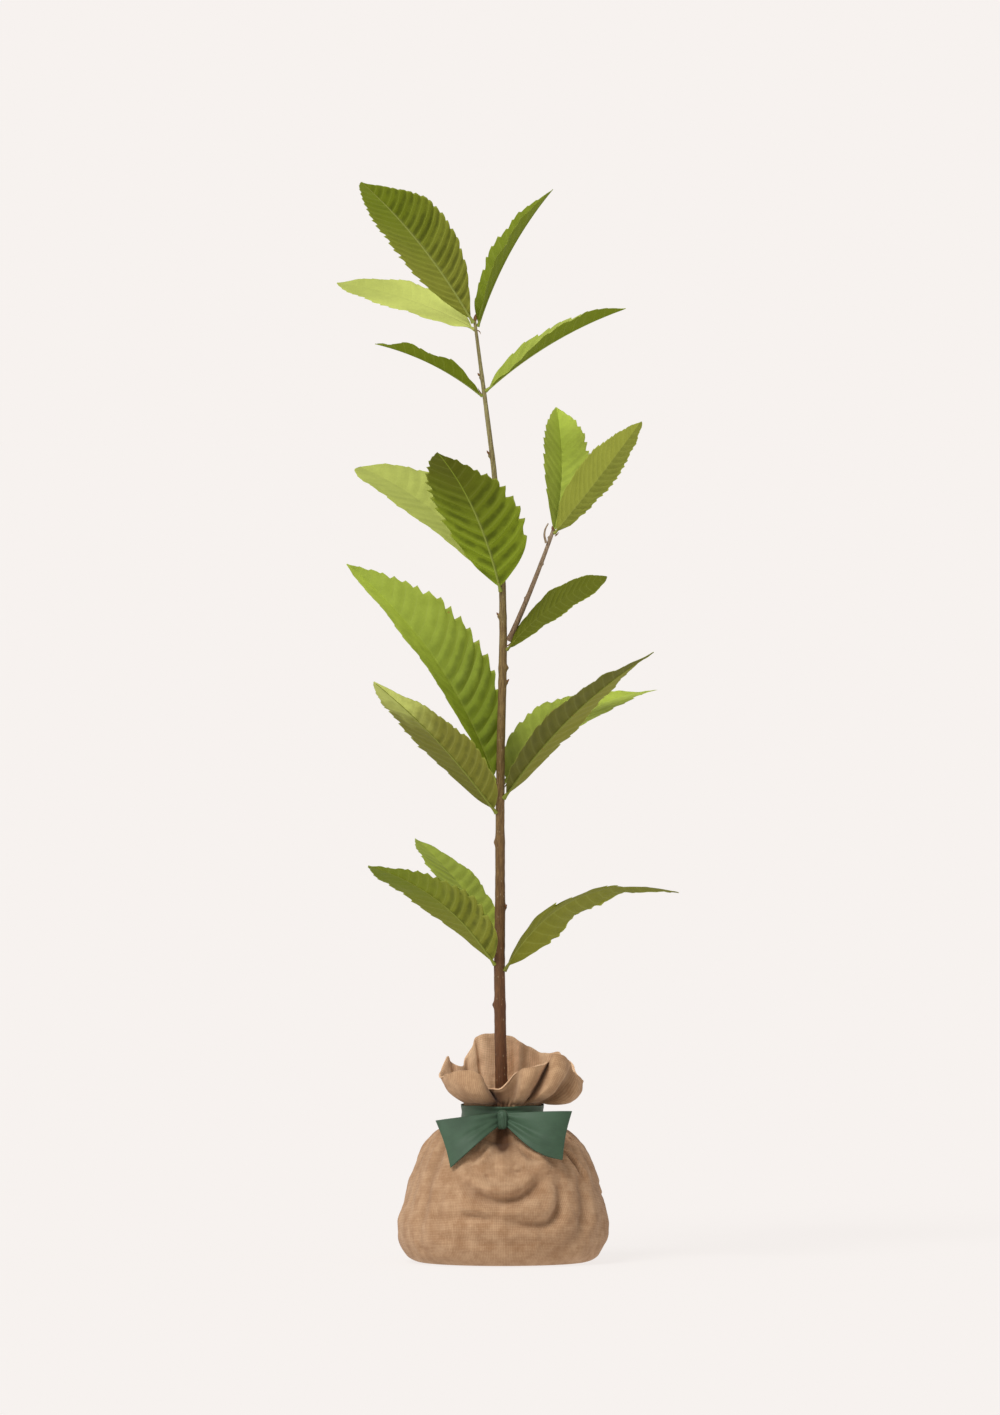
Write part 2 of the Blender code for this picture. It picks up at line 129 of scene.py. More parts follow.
def lumps(points, wavelength, seed, count=12):
    """Soft irregular relief of about this wavelength: the sum of plane waves with seeded directions."""
    dice = np.random.default_rng(seed)
    headings = unit(dice.normal(size=(count, 3)))
    rates = 2 * pi / wavelength * dice.uniform(0.7, 1.4, (count, 1))
    phases = dice.uniform(0, 2 * pi, count)
    return np.sin(points @ (headings * rates).T + phases).sum(axis=-1) / sqrt(count / 2)


def evenly(course, count, rounding):
    """The course resampled at even steps along its length, with its corners eased by repeated averaging."""
    course = np.array(course, float)
    run = run_along(course)
    even = np.linspace(0, run[-1], count)
    points = np.stack([np.interp(even, run, column) for column in course.T], axis=1)
    for _ in range(rounding):
        points[1:-1] = (points[:-2] + 2 * points[1:-1] + points[2:]) / 4
    return points


def crease(azimuth, height, course, depth, width, lip):
    """A groove along a course over the cloth with a soft lip above it, both fading out at its ends. The
    distance from the course is measured on the cloth, in mm, and each falls off with its square."""
    across = (azimuth + 180) % 360 - 180
    scale = radians(1) * CLOTH_RADIUS
    course = evenly(course, 13, 2) * (scale, 1)
    here = np.stack(np.broadcast_arrays(across * scale, height), axis=-1)
    nearest = np.full(here.shape[:-1], 1e9)
    above = np.zeros_like(nearest)
    share = np.zeros_like(nearest)
    for index, (start, end) in enumerate(zip(course, course[1:])):
        along = end - start
        part = np.clip(((here - start) @ along) / (along @ along), 0, 1)
        offset = here - start - part[..., None] * along
        distance = np.linalg.norm(offset, axis=-1)
        closer = distance < nearest
        nearest = np.where(closer, distance, nearest)
        side = offset @ (np.array((-along[1], along[0])) / sqrt(along @ along))
        above = np.where(closer, side, above)
        share = np.where(closer, (index + part) / (len(course) - 1), share)
    fade = np.clip(np.sin(pi * np.clip(share, 0.02, 0.98)), 0, 1) ** 0.6
    groove = -depth * hump(nearest, width)
    swell = lip * hump(nearest - 2.1 * width, 1.3 * width) * np.where(above > 0, 1, 0.35)
    return (groove + swell) * fade


def build(name, patches, smooth_to=60):
    """One closed mesh from patches. A patch is a grid of points in mm, rows by columns; its columns may
    wrap round, each end may be closed by a cap, and it carries a UV pair and named values at each point."""
    places, faces, corner_uv, values, first = [], [], [], {}, 0
    named = sorted({key for patch in patches for key in patch.get("values", {})})
    for patch in patches:
        points = patch["points"]
        rows, columns = points.shape[:2]
        wraps = patch.get("wraps", True)
        row, column = np.meshgrid(np.arange(rows - 1), np.arange(columns - (not wraps)), indexing="ij")
        corners = [(row, column), (row, column + 1), (row + 1, column + 1), (row + 1, column)]
        ring = [first + r * columns + c % columns for r, c in corners]
        faces += np.stack(ring, axis=-1).reshape(-1, 4).tolist()
        uv = patch.get("uv")
        if uv is None:
            uv = np.zeros((rows, columns + 1, 2))
        corner_uv.append(np.stack([uv[r, c] for r, c in corners], axis=2).reshape(-1, 2))
        for end, row_index in (("start", 0), ("finish", rows - 1)):
            if end in patch.get("caps", ()):
                rim = first + row_index * columns + np.arange(columns)
                faces.append(rim.tolist())
                corner_uv.append(uv[row_index, :columns])
        for key in named:
            value = np.broadcast_to(patch.get("values", {}).get(key, 0.0), (rows, columns))
            values.setdefault(key, []).append(value.reshape(-1))
        places.append(points.reshape(-1, 3))
        first += rows * columns
    mesh = bpy.data.meshes.new(name)
    mesh.from_pydata(np.concatenate(places) * MM, [], faces)
    mesh.uv_layers.new(name="cut").data.foreach_set("uv", np.concatenate(corner_uv).astype("f").ravel())
    for key in named:
        layer = mesh.attributes.new(key, "FLOAT", "POINT")
        layer.data.foreach_set("value", np.concatenate(values[key]).astype("f"))
    bm = bmesh.new()
    bm.from_mesh(mesh)
    bmesh.ops.remove_doubles(bm, verts=bm.verts[:], dist=0.004 * MM)
    bmesh.ops.dissolve_degenerate(bm, edges=bm.edges[:], dist=0.002 * MM)
    bmesh.ops.recalc_face_normals(bm, faces=bm.faces[:])
    bm.to_mesh(mesh)
    bm.free()
    mesh.shade_smooth()
    mesh.set_sharp_from_angle(angle=radians(smooth_to))
    piece = bpy.data.objects.new(name, mesh)
    bpy.context.scene.collection.objects.link(piece)
    return piece


class Tone:
    """A value in a finish's nodes. Sums, products and powers of it add Math nodes."""

    def __init__(self, finish, socket):
        self.finish = finish
        self.socket = socket

    def of(self, operation, *others):
        sockets = dict(enumerate((self, *others)))
        return self.finish.node("ShaderNodeMath", {"operation": operation}, sockets)

    def __add__(self, other):
        return self.of("ADD", other)

    def __sub__(self, other):
        return self.of("SUBTRACT", other)

    def __rsub__(self, other):
        return self.finish.node("ShaderNodeMath", {"operation": "SUBTRACT"}, {0: other, 1: self})

    def __mul__(self, other):
        return self.of("MULTIPLY", other)

    def __truediv__(self, other):
        return self.of("DIVIDE", other)

    def __pow__(self, other):
        return self.of("POWER", other)

    __radd__ = __add__
    __rmul__ = __mul__

    def sine(self):
        return self.of("SINE")

    def size(self):
        return self.of("ABSOLUTE")

    def whole(self):
        return self.of("FLOOR")

    def rest(self):
        return self.of("FRACT")

    def top(self, other):
        return self.of("MAXIMUM", other)

    def least(self, other):
        return self.of("MINIMUM", other)

    def step(self, low, high):
        """Runs smoothly from 0 at low to 1 at high."""
        return self.finish.node(
            "ShaderNodeMapRange",
            {"interpolation_type": "SMOOTHSTEP"},
            {0: self, 1: low, 2: high, 3: 0.0, 4: 1.0},
        )


class Finish:
    """A material with one Principled shader, whose constant sockets are set by name."""

    def __init__(self, name, **constants):
        self.material = bpy.data.materials.new(name)
        self.material.use_nodes = True
        self.tree = self.material.node_tree
        self.shader = self.tree.nodes["Principled BSDF"]
        for socket, value in constants.items():
            self.shader.inputs[socket.replace("_", " ").title().replace("Ior", "IOR")].default_value = value

    def node(self, kind, settings=None, sockets=None, output=0):
        """A node of this kind: its settings are made first, then the values or links of its sockets."""
        made = self.tree.nodes.new(kind)
        for setting, value in (settings or {}).items():
            setattr(made, setting, value)
        for socket, value in (sockets or {}).items():
            if isinstance(value, Tone):
                self.tree.links.new(value.socket, made.inputs[socket])
            else:
                made.inputs[socket].default_value = value
        return Tone(self, made.outputs[output])

    def feed(self, socket, tone):
        self.tree.links.new(tone.socket, self.shader.inputs[socket])

    def mix(self, share, first, second):
        """The second colour laid over the first by this share."""
        first, second = ((*c, 1) if isinstance(c, tuple) else c for c in (first, second))
        return self.node("ShaderNodeMix", {"data_type": "RGBA"}, {0: share, 6: first, 7: second}, 2)

    def place(self, scale=(1, 1, 1)):
        """Where on the piece, in millimetres times this scale."""
        where = self.node("ShaderNodeTexCoord", output="Object")
        return self.node("ShaderNodeVectorMath", {"operation": "MULTIPLY"},
                         {0: where, 1: tuple(1000 * s for s in scale)})

    def cut(self):
        """The two directions of the piece's own UV map."""
        uv = self.node("ShaderNodeUVMap", {"uv_map": "cut"})
        return [self.node("ShaderNodeSeparateXYZ", None, {0: uv}, axis) for axis in (0, 1)]

    def noise(self, where, scale, detail=3.0, roughness=0.5):
        return self.node("ShaderNodeTexNoise", None,
                         {"Vector": where, "Scale": scale, "Detail": detail, "Roughness": roughness})

    def joined(self, x, y, z=0.0):
        return self.node("ShaderNodeCombineXYZ", None, {0: x, 1: y, 2: z})

    def value(self, name):
        return self.node("ShaderNodeAttribute", {"attribute_name": name}, output="Fac")

    def relief(self, height, depth, strength=1.0):
        """Feeds the normal with a bump whose height is in units of this depth in mm."""
        bump = self.node("ShaderNodeBump", None,
                         {"Strength": strength, "Distance": depth * MM, "Height": height})
        self.feed("Normal", bump)


def srgb(red, green, blue):
    """A colour as the eye's 0 to 255 steps, turned into linear light."""
    parts = np.array((red, green, blue)) / 255
    return tuple(np.where(parts <= 0.04045, parts / 12.92, ((parts + 0.055) / 1.055) ** 2.4).tolist())


# How far the painted shade in the cloth's creases, folds and hollows pulls its dark tone down, per colour.
PAINTED_SHADE_TONES = (0.27, 0.21, 0.16)


def burlap(name, light, dark, thread=1.2):
    """Plain-woven jute. Warp and weft cross over and under on the cloth's own grid, each thread with its
    own thickness and tone; loose fibre shows as pale and dark flecks, and handling leaves faint stains.
    Painted shade, given as a value on the piece, darkens its creases, folds and hollows."""
    cloth = Finish(name, roughness=0.9, sheen_weight=0.08, sheen_roughness=0.6, specular_ior_level=0.2)
    u, v = cloth.cut()
    where = cloth.place()
    drift = cloth.noise(where, 0.09, 2.0)
    wobble = cloth.noise(where, 0.4, 2.0)
    warp = (u + 1.1 * drift + 0.22 * wobble) / thread
    weft = (v + 1.1 * drift - 0.22 * wobble) / thread
    warp_thread, weft_thread = warp.whole(), weft.whole()
    warp_tone = cloth.node("ShaderNodeTexWhiteNoise", {"noise_dimensions": "1D"}, {"W": warp_thread})
    weft_tone = cloth.node("ShaderNodeTexWhiteNoise", {"noise_dimensions": "1D"}, {"W": weft_thread + 0.5})
    slub_warp = cloth.noise(cloth.joined(warp_thread * 7.3, weft * 0.09), 1.0, 2.0)
    slub_weft = cloth.noise(cloth.joined(weft_thread * 5.7, warp * 0.09, 3.0), 1.0, 2.0)
    warp_round = (warp.rest() * pi).sine() ** 0.7 * (0.75 + 0.5 * slub_warp)
    weft_round = (weft.rest() * pi).sine() ** 0.7 * (0.75 + 0.5 * slub_weft)
    warp_over = ((weft + warp_thread) * pi).sine() * 0.5 + 0.5
    weft_over = ((warp + weft_thread + 1.0) * pi).sine() * 0.5 + 0.5
    warp_high = warp_round * (0.35 + 0.65 * warp_over)
    weft_high = weft_round * (0.35 + 0.65 * weft_over)
    height = warp_high.top(weft_high)
    fibre = cloth.noise(cloth.joined(u * 0.5, v * 4.0), 1.1, 3.0, 0.65)
    fibre_across = cloth.noise(cloth.joined(u * 4.0, v * 0.5, 9.0), 1.1, 3.0, 0.65)
    stain = cloth.noise(where, 0.035, 4.0, 0.6)
    shade = 0.5 * warp_tone + 0.5 * weft_tone
    mottle = cloth.noise(where, 0.1, 5.0, 0.6)
    share = 0.36 * height + 0.08 * shade + 0.1 * fibre + 0.08 * fibre_across + 0.75 * mottle
    colour = cloth.mix((share - 0.52).step(0.0, 0.5), dark, light)
    soiled = tuple(0.8 * part for part in dark)
    colour = cloth.mix(0.3 * stain.step(0.52, 0.75), colour, soiled)
    # Painted shade: the piece's value for painted shade mixes the colour towards a deep brown where its
    # folds and hollows lie in shade.
    deep = tuple(tone * part for tone, part in zip(PAINTED_SHADE_TONES, dark))
    colour = cloth.mix(cloth.value("hollow"), colour, deep)
    cloth.feed("Base Color", colour)
    cloth.relief(0.8 * height + 0.5 * fibre + 0.4 * fibre_across, 0.34, 0.7)
    return cloth.material


def slack_sack():
    """The outline turned about Z, then slumped: flatter front to back, with three broad lumps, gathers on
    the shoulder that come from the tied neck, a dip under the knot, creases, and lumps of soil. Also
    returns its cloth UV pairs and how much painted shade lies in the creases, between the gathers and
    in the pit under the knot."""
    outline = evenly(SACK_OUTLINE, SACK_ROWS, SACK_ROUNDING)
    angle = once_round(SACK_COLUMNS)
    radius, height = outline[:, :1], outline[:, 1:]
    run = run_along(outline)[:, None]
    turned = np.stack((radius * np.cos(angle), radius * np.sin(angle), height + 0 * angle), axis=-1)
    share = np.clip(height / SACK_TOP, 0, 1)
    past_neck = np.clip((radius - NECK_RADIUS - 1) / NECK_BLEND, 0, 1)
    shoulder = np.clip((share - SHOULDER_FROM) / (SHOULDER_FULL - SHOULDER_FROM), 0, 1) * past_neck
    side = np.clip(height / 7, 0, 1) * np.clip(past_neck * 1.5, 0, 1)
    broad = SACK_LUMP_HEIGHT * np.sin(SACK_LUMPS * angle + SACK_LUMP_TURN) * np.sin(pi * share)
    tucks = sum(amount * np.sin(count * angle + turn) for count, amount, turn in GATHERS)
    tucks = (tucks + 0.8 * np.abs(np.sin(13 * angle)) - 0.4) * shoulder**0.8
    azimuth = np.degrees(angle) + 90
    crease_relief = sum(crease(azimuth, height, *shape) for shape in SACK_CREASES)
    dice = np.random.default_rng(7)
    for _ in range(BACK_CREASES):
        middle, level = dice.uniform(75, 285), dice.uniform(20, 76)
        reach, sag = dice.uniform(9, 24), dice.uniform(3, 9)
        steps = np.linspace(-1, 1, 5)
        tilt = dice.uniform(-5, 5)
        course = np.stack((middle + reach * steps, level + sag * steps**2 + tilt * steps), axis=1)
        crease_relief = crease_relief + crease(azimuth, height, course, dice.uniform(1.2, 2.8), dice.uniform(2.4, 3.4), 2.0)
    soil = 0.4 * lumps(turned, 42, 3) + 0.22 * lumps(turned, 19, 4) + 0.12 * lumps(turned, 8, 5)
    outward = broad + tucks + (1.25 * crease_relief + soil) * side
    reach = 1 + outward / np.maximum(radius, NECK_RADIUS)
    depth = 1 + (SACK_DEPTH - 1) * past_neck
    off_front = (np.degrees(angle) + 270) % 360 - 180
    front = hump(np.radians(off_front), DIP_SPREAD)
    x = turned[..., 0] * reach
    y = turned[..., 1] * reach * depth
    z = turned[..., 2] - SACK_DIP * front * shoulder
    uv = on_cloth(np.linspace(0, 2 * pi, SACK_COLUMNS + 1)[None, :] * CLOTH_RADIUS, run)
    # Painted shade: darker in the grooves of the creases and between the gathers, darkest in the pit under
    # the knot.
    hollow = 0.46 * np.clip(-crease_relief / 4, 0, 1) * side + 0.22 * np.clip(-tucks / 2, 0, 1)
    under_knot = hump(off_front, PIT_WIDTH) * hump(height - PIT_HEIGHT, PIT_SPREAD)
    return np.stack((x, y, np.maximum(z, 0)), axis=-1), uv, np.clip(hollow + 1.4 * under_knot, 0, 1)


SACK_LIGHT = srgb(197, 162, 127)
SACK_DARK = srgb(157, 119, 85)
sack_points, sack_uv, sack_painted_shade = slack_sack()
sack = build("burlap_sack", [dict(points=sack_points, uv=sack_uv, values={"hollow": sack_painted_shade})])
sack.data.materials.append(burlap("sack burlap", SACK_LIGHT, SACK_DARK))
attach(sack, "root")
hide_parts("root_ball")

# ---------------------------------------------------------------------------------------------------
# The soil inside the neck. Damp crumbly potting soil fills the sack up to the tie and heaps a little
# round the foot of the stem, where it shows from above between the stem and the collar.

SOIL_RADIUS, SOIL_LEVEL, SOIL_HEAP = 27.6, 104.2, 4.5


def heaped_soil():
    """A disc whose height falls off from the stem with the square of the radius, with crumbs on it."""
    radius = SOIL_RADIUS * np.linspace(0.01, 1, 60)[:, None]
    angle = once_round(180)
    x, y = radius * np.cos(angle), radius * np.sin(angle)
    flat = np.stack((x, y, 0 * x), axis=-1)
    crumbs = 0.9 * np.abs(lumps(flat, 7, 31)) + 0.5 * np.abs(lumps(flat, 3.2, 32))
    heap = SOIL_HEAP * (1 - (radius / SOIL_RADIUS) ** 2)
    height = SOIL_LEVEL + heap + crumbs * (radius < SOIL_RADIUS * 0.97)
    top = np.stack((x, y, height), axis=-1)
    under = np.stack((x, y, SACK_TOP + 0.02 + 0 * x), axis=-1)
    return np.concatenate((top, under[::-1]))


def damp_soil():
    """Dark brown crumbs with paler dry grains and specks of bark."""
    soil = Finish("damp soil", roughness=0.95, specular_ior_level=0.2)
    where = soil.place()
    grain = soil.noise(where, 0.9, 5.0, 0.7)
    clods = soil.noise(where, 0.25, 3.0)
    specks = soil.noise(where, 2.2, 1.0)
    colour = soil.mix((grain + clods - 0.6).step(0.1, 0.8), srgb(46, 27, 14), srgb(104, 70, 42))
    soil.feed("Base Color", soil.mix(specks.step(0.68, 0.74), colour, srgb(150, 116, 80)))
    soil.relief(grain + 0.4 * specks, 0.7, 0.9)
    return soil.material


soil = build("soil_in_neck", [dict(points=heaped_soil(), caps=("start", "finish"))])
soil.data.materials.append(damp_soil())
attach(soil, "root")
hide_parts("root_ball")

# ---------------------------------------------------------------------------------------------------
# The collar. The open end of the sack stands up above the tie and flares out in ruffles: the gathers
# start close together at the tie, drawn towards the knot, and open into broad folds at the raw rim.

COLLAR_FOOT, COLLAR_FLARE = 104.0, 118.0
COLLAR_COLUMNS, COLLAR_ROWS, COLLAR_CLOTH = 560, 84, 1.0
BAND_SHARE, INSIDE_TIE = 0.16, 0.7
# The radius and the height of the flat cloth, and where the ruffles droop over the tie and by how much.
CUT_RADIUS, CUT_HEIGHT = 46, 58
DROOP, DROOP_FROM, DROOP_SPREAD = 3.2, 32.5, 7
# The shade under the front lip: where its middle lies off the bow, and its half-width in degrees.
LIP_OFFSET, LIP_WIDTH = 2.5, 14
# Guides round the collar, from the left tip across the front to the right tip and round the back. Each
# has its azimuth at the tie, and where the cloth is halfway up and at the rim, as x, y and height.
COLLAR_GUIDES = (
    (-172, (-38.5, -13, 126.5), (-44.7, -12, 137.6)),
    (-148, (-34.5, -25, 127), (-38.5, -23, 141)),
    (-128, (-28.5, -34, 128), (-30.5, -31, 143.4)),
    (-117, (-21, -39, 127.5), (-22.5, -35, 143.6)),
    (-107, (-13, -39.5, 126), (-16.5, -36, 140.5)),
    (-99.5, (-8.6, -34, 124.5), (-13.5, -31.5, 134.5)),
    (-96.5, (-6.8, -24.5, 123), (-11.5, -25.5, 130.5)),
    (-92, (-2.8, -28.5, 122.5), (-6.4, -28.5, 129.6)),
    (-87, (1.6, -29.5, 123), (-0.4, -30.5, 130.6)),
    (-82, (5.6, -29, 125), (4.8, -30.5, 136.2)),
    (-77, (9.6, -30.5, 127.5), (10, -32.5, 142)),
    (-70, (13.4, -38.5, 128.5), (16, -38, 145.4)),
    (-62, (19, -38.5, 130), (24.5, -39.5, 147.2)),
    (-58.5, (22.4, -32.5, 130.5), (30.8, -35, 148.6)),
    (-56, (25, -23.5, 130), (34.4, -26.5, 150.5)),
    (-51, (28.6, -31, 131), (38, -29.5, 155.4)),
    (-43, (33.6, -38, 131.5), (43.5, -28, 154.4)),
    (-33, (39.8, -33.5, 130), (48.6, -22.5, 149.5)),
    (-23, (38.6, -17, 126.5), (51.2, -15, 142.6)),
    (-12, (48.5, -17.5, 120.5), (56.6, -9.5, 137)),
    (0, (51.8, -5.5, 120), (58.4, -4, 134.6)),
    (9, (44, 4, 125), (53.5, 5, 140.5)),
    (18, (41.8, 13.5, 130.5), (50.5, 12.5, 147.6)),
    (25, (33.6, 14.5, 133), (43.5, 19, 151.5)),
    (32, (36.5, 21.5, 134), (41, 24.5, 154.2)),
    (41, (28, 24.5, 134), (33.5, 28, 153.2)),
    (50, (26.5, 30.5, 134.5), (28, 34, 153.4)),
    (60, (17.5, 29, 136.5), (19.5, 34.5, 157.5)),
    (67, (12.6, 28.6, 138), (14.8, 32.8, 160)),
    (76, (9.2, 36.5, 139.5), (9.8, 39.5, 163.6)),
    (85, (2.6, 33.5, 141), (2.8, 37, 166.2)),
    (98, (-4.8, 32.2, 141), (-5.4, 35.6, 167.6)),
    (110, (-12, 30.4, 140.5), (-13.2, 34.2, 167)),
    (119, (-17.4, 30.6, 139.5), (-19.4, 34.8, 164.6)),
    (125, (-18.4, 25.6, 138), (-21.4, 31.6, 158.4)),
    (136, (-25.6, 24.6, 135), (-27, 27.2, 149.6)),
    (147, (-26, 17.2, 131.5), (-29.6, 19.6, 143.4)),
    (156, (-34.6, 16.5, 131), (-37.8, 17.8, 147.6)),
    (162, (-35, 11.6, 130.5), (-39.6, 13.2, 152)),
    (170, (-34.5, 7, 129.5), (-42.6, 8.4, 146.2)),
    (181, (-38.5, 0, 127), (-45.6, -1, 139.4)),
)


def round_through(guides, count):
    """A closed smooth curve through rows of values at even steps: between two rows it is the cubic whose
    slope at each row is half the step between that row's neighbours."""
    at = np.arange(count) / count * len(guides)
    first = at.astype(int)
    part = (at - first)[:, None]
    before, start, end, after = (guides[(first + shift) % len(guides)] for shift in (-1, 0, 1, 2))
    bend = 2 * before - 5 * start + 4 * end - after
    turn = 3 * start - before - 3 * end + after
    return start + part / 2 * (end - before + part * (bend + part * turn))


def ruffled_collar():
    """The cloth from inside the tie to the rim. Up to the flare it goes straight up round the neck; from
    there each column is the parabola through its three guides. Small pleats fade out above the tie, and
    the raw rim flutters and curls out a little. Also returns how much painted shade lies in its folds,
    near the tie and under the front lip."""
    neck = NECK_RADIUS - INSIDE_TIE
    turns = np.unwrap(np.radians([azimuth for azimuth, _, _ in COLLAR_GUIDES]))
    tie = np.stack((neck * np.cos(turns), neck * np.sin(turns), COLLAR_FLARE + 0 * turns), axis=1)
    halfway = np.array([middle for _, middle, _ in COLLAR_GUIDES])
    rim = np.array([edge for _, _, edge in COLLAR_GUIDES])
    rings = [round_through(ring, COLLAR_COLUMNS) for ring in (tie, halfway, rim)]
    rings[0][:, :2] = neck * unit(rings[0][:, :2])
    rise = np.linspace(0, 1, COLLAR_ROWS)[:, None, None]
    flare = np.clip((rise - BAND_SHARE) / (1 - BAND_SHARE), 0, 1)
    points = rings[0] * (1 - flare) * (1 - 2 * flare) + rings[1] * 4 * flare * (1 - flare)
    points = points + rings[2] * flare * (2 * flare - 1)
    straight = COLLAR_FOOT + (COLLAR_FLARE - COLLAR_FOOT) * rise[..., 0] / BAND_SHARE
    reach = np.linalg.norm(points[..., :2], axis=-1)
    lowest = COLLAR_FLARE - DROOP * np.clip((reach - DROOP_FROM) / DROOP_SPREAD, 0, 1) ** 1.5
    points[..., 2] = np.where(rise[..., 0] < BAND_SHARE, straight, np.maximum(points[..., 2], lowest))
    flare = flare[..., 0]
    around = once_round(COLLAR_COLUMNS)
    out = unit(points[..., :2])
    pleats = -0.9 * np.abs(np.sin(around * 17)) * np.clip(1 - 2.2 * flare, 0, 1)
    crumple = (0.3 * lumps(points, 17, 11) + 0.07 * lumps(points, 6, 12)) * np.clip(flare * 4, 0, 1)
    hem = 0.8 * np.clip((flare - 0.93) / 0.07, 0, 1) ** 2
    points[..., :2] += out * (pleats + crumple + hem)[..., None]
    points[..., 2] += 0.22 * np.sin(around * 31) * flare**4 - 0.5 * hem
    cloth = np.linspace(0, 2 * pi, COLLAR_COLUMNS + 1)[None, :] * CUT_RADIUS
    uv = on_cloth(cloth, rise[..., 0] * CUT_HEIGHT)
    # Painted shade: darker where a column lies inside its neighbours, low down near the tie, and under the
    # front lip.
    reach = np.linalg.norm(points[..., :2], axis=-1)
    spread = range(-COLLAR_COLUMNS // 22, COLLAR_COLUMNS // 22 + 1, 4)
    level = sum(np.roll(reach, shift, axis=1) for shift in spread) / len(spread)
    hollow = 0.42 * np.clip((level - reach - 0.1) / 3.4, 0, 1) + 0.36 * np.clip(1 - flare * 3, 0, 1)
    off_knot = np.degrees(np.arctan2(points[..., 0] + LIP_OFFSET, -points[..., 1]))
    under_lip = hump(off_knot, LIP_WIDTH) * np.clip((0.98 - flare) / 0.18, 0, 1)
    return points, uv, np.clip(hollow + 0.95 * under_lip, 0, 1)


def thicken(piece, thickness):
    """A wall of this thickness in mm, half on each side of the sheet."""
    wall = piece.modifiers.new("cloth", "SOLIDIFY")
    wall.thickness = thickness * MM
    wall.offset = 0
    wall.use_even_offset = False


collar_points, collar_uv, collar_painted_shade = ruffled_collar()
collar_sheet = dict(points=collar_points, uv=collar_uv, values={"hollow": collar_painted_shade})
collar = build("burlap_collar", [collar_sheet])
thicken(collar, COLLAR_CLOTH)
# The inner side is given paler burlap tones than the outer, as painted light on the inside of the collar;
# the outer is the material that the thickening adds.
INNER_LIGHT, INNER_DARK = srgb(246, 209, 170), srgb(200, 160, 124)
OUTER_LIGHT, OUTER_DARK = srgb(204, 168, 130), srgb(161, 124, 90)
collar.data.materials.append(burlap("inner side of the burlap with painted light", INNER_LIGHT, INNER_DARK))
collar.data.materials.append(burlap("collar burlap", OUTER_LIGHT, OUTER_DARK))
collar.modifiers["cloth"].material_offset = 1
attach(collar, "root")
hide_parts("sack_collar")

# ---------------------------------------------------------------------------------------------------
# The ribbon. A soft green satin ribbon goes round the neck, is tied in front and makes a bow of two
# flattened loops with no tails. Each loop is the ribbon folded back on itself, pinched at the knot.

BAND_LOW, BAND_HIGH, BAND_MIDDLE = 104.7, 116.4, 30.0
RIBBON_CLOTH = 0.6
BAND_WIDTH, LOOP_RUN, LOOP_WIDTH = 12, 110, 34
KNOT_HALF = (4.2, 4.9, 7.1)
KNOT_CENTRE = (0, -36.2, 107)
LOOP_ROOT = ((3.2, -37.2, 102.0), (3.2, -37.2, 111.8))
LEFT_LOOP_END = ((-38, -53, 72.5), (-49, -41, 106.5))
RIGHT_LOOP_END = ((44, -50, 78), (51, -40, 113.5))
LOOP_BULGE = 7
LOOP_FRONT, LOOP_BACK = 2.2, 1.6


def satin(name, colour, along):
    """Satin: fine threads run along the ribbon, and soft bands of sheen across it are painted into its
    colour as lighter and darker satin; a woven edge and slight mottling keep it from looking like plastic."""
    cloth = Finish(name, roughness=0.5, sheen_weight=0.08, sheen_roughness=0.5, specular_ior_level=0.35)
    u, v = cloth.cut()
    run, width = (u, v) if along else (v, u)
    where = cloth.place()
    thread = ((width * 3.4) * pi).sine().size()
    weft = ((run * 2.6) * pi).sine().size()
    pull = cloth.noise(cloth.joined(run * 0.12, width * 2.4), 1.0, 3.0)
    tone = cloth.noise(where, 0.06, 3.0)
    deep = tuple(0.8 * part for part in colour)
    pale = tuple(min(1.16 * part, 1) for part in colour)
    # Painted sheen: lighter and darker satin in soft bands, mixed with random mottling.
    shade = cloth.mix((0.35 * pull + 0.65 * tone).step(0.35, 0.65), deep, pale)
    cloth.feed("Base Color", cloth.mix(0.16 * thread, shade, deep))
    cloth.feed("Roughness", 0.46 + 0.12 * pull + 0.06 * weft)
    cloth.relief(0.5 * thread + 0.3 * weft + 0.4 * pull, 0.05, 0.4)
    return cloth.material


def tied_band():
    """A short cylinder round the neck whose edges roll outwards, with creases that gather at the knot."""
    width = np.linspace(0, 1, 24)[:, None]
    angle = once_round(360)
    off_front = np.abs((np.degrees(angle) + 270) % 360 - 180)
    near_knot = hump(off_front, 34)
    roll = 0.35 * (2 * width - 1) ** 4
    wrinkle = 0.3 * np.sin(angle * 3 + 9 * width) * np.sin(angle * 7 + 1)
    wrinkle = wrinkle + 0.45 * near_knot * np.sin(15 * width)
    radius = BAND_MIDDLE + roll + wrinkle * 0.8
    height = BAND_LOW + (BAND_HIGH - BAND_LOW) * width + 0.3 * np.sin(angle * 5)
    points = np.stack((radius * np.cos(angle), radius * np.sin(angle), height), axis=-1)
    around = np.linspace(0, 2 * pi, 361)[None, :] * BAND_MIDDLE
    return points, on_cloth(around, width * BAND_WIDTH)


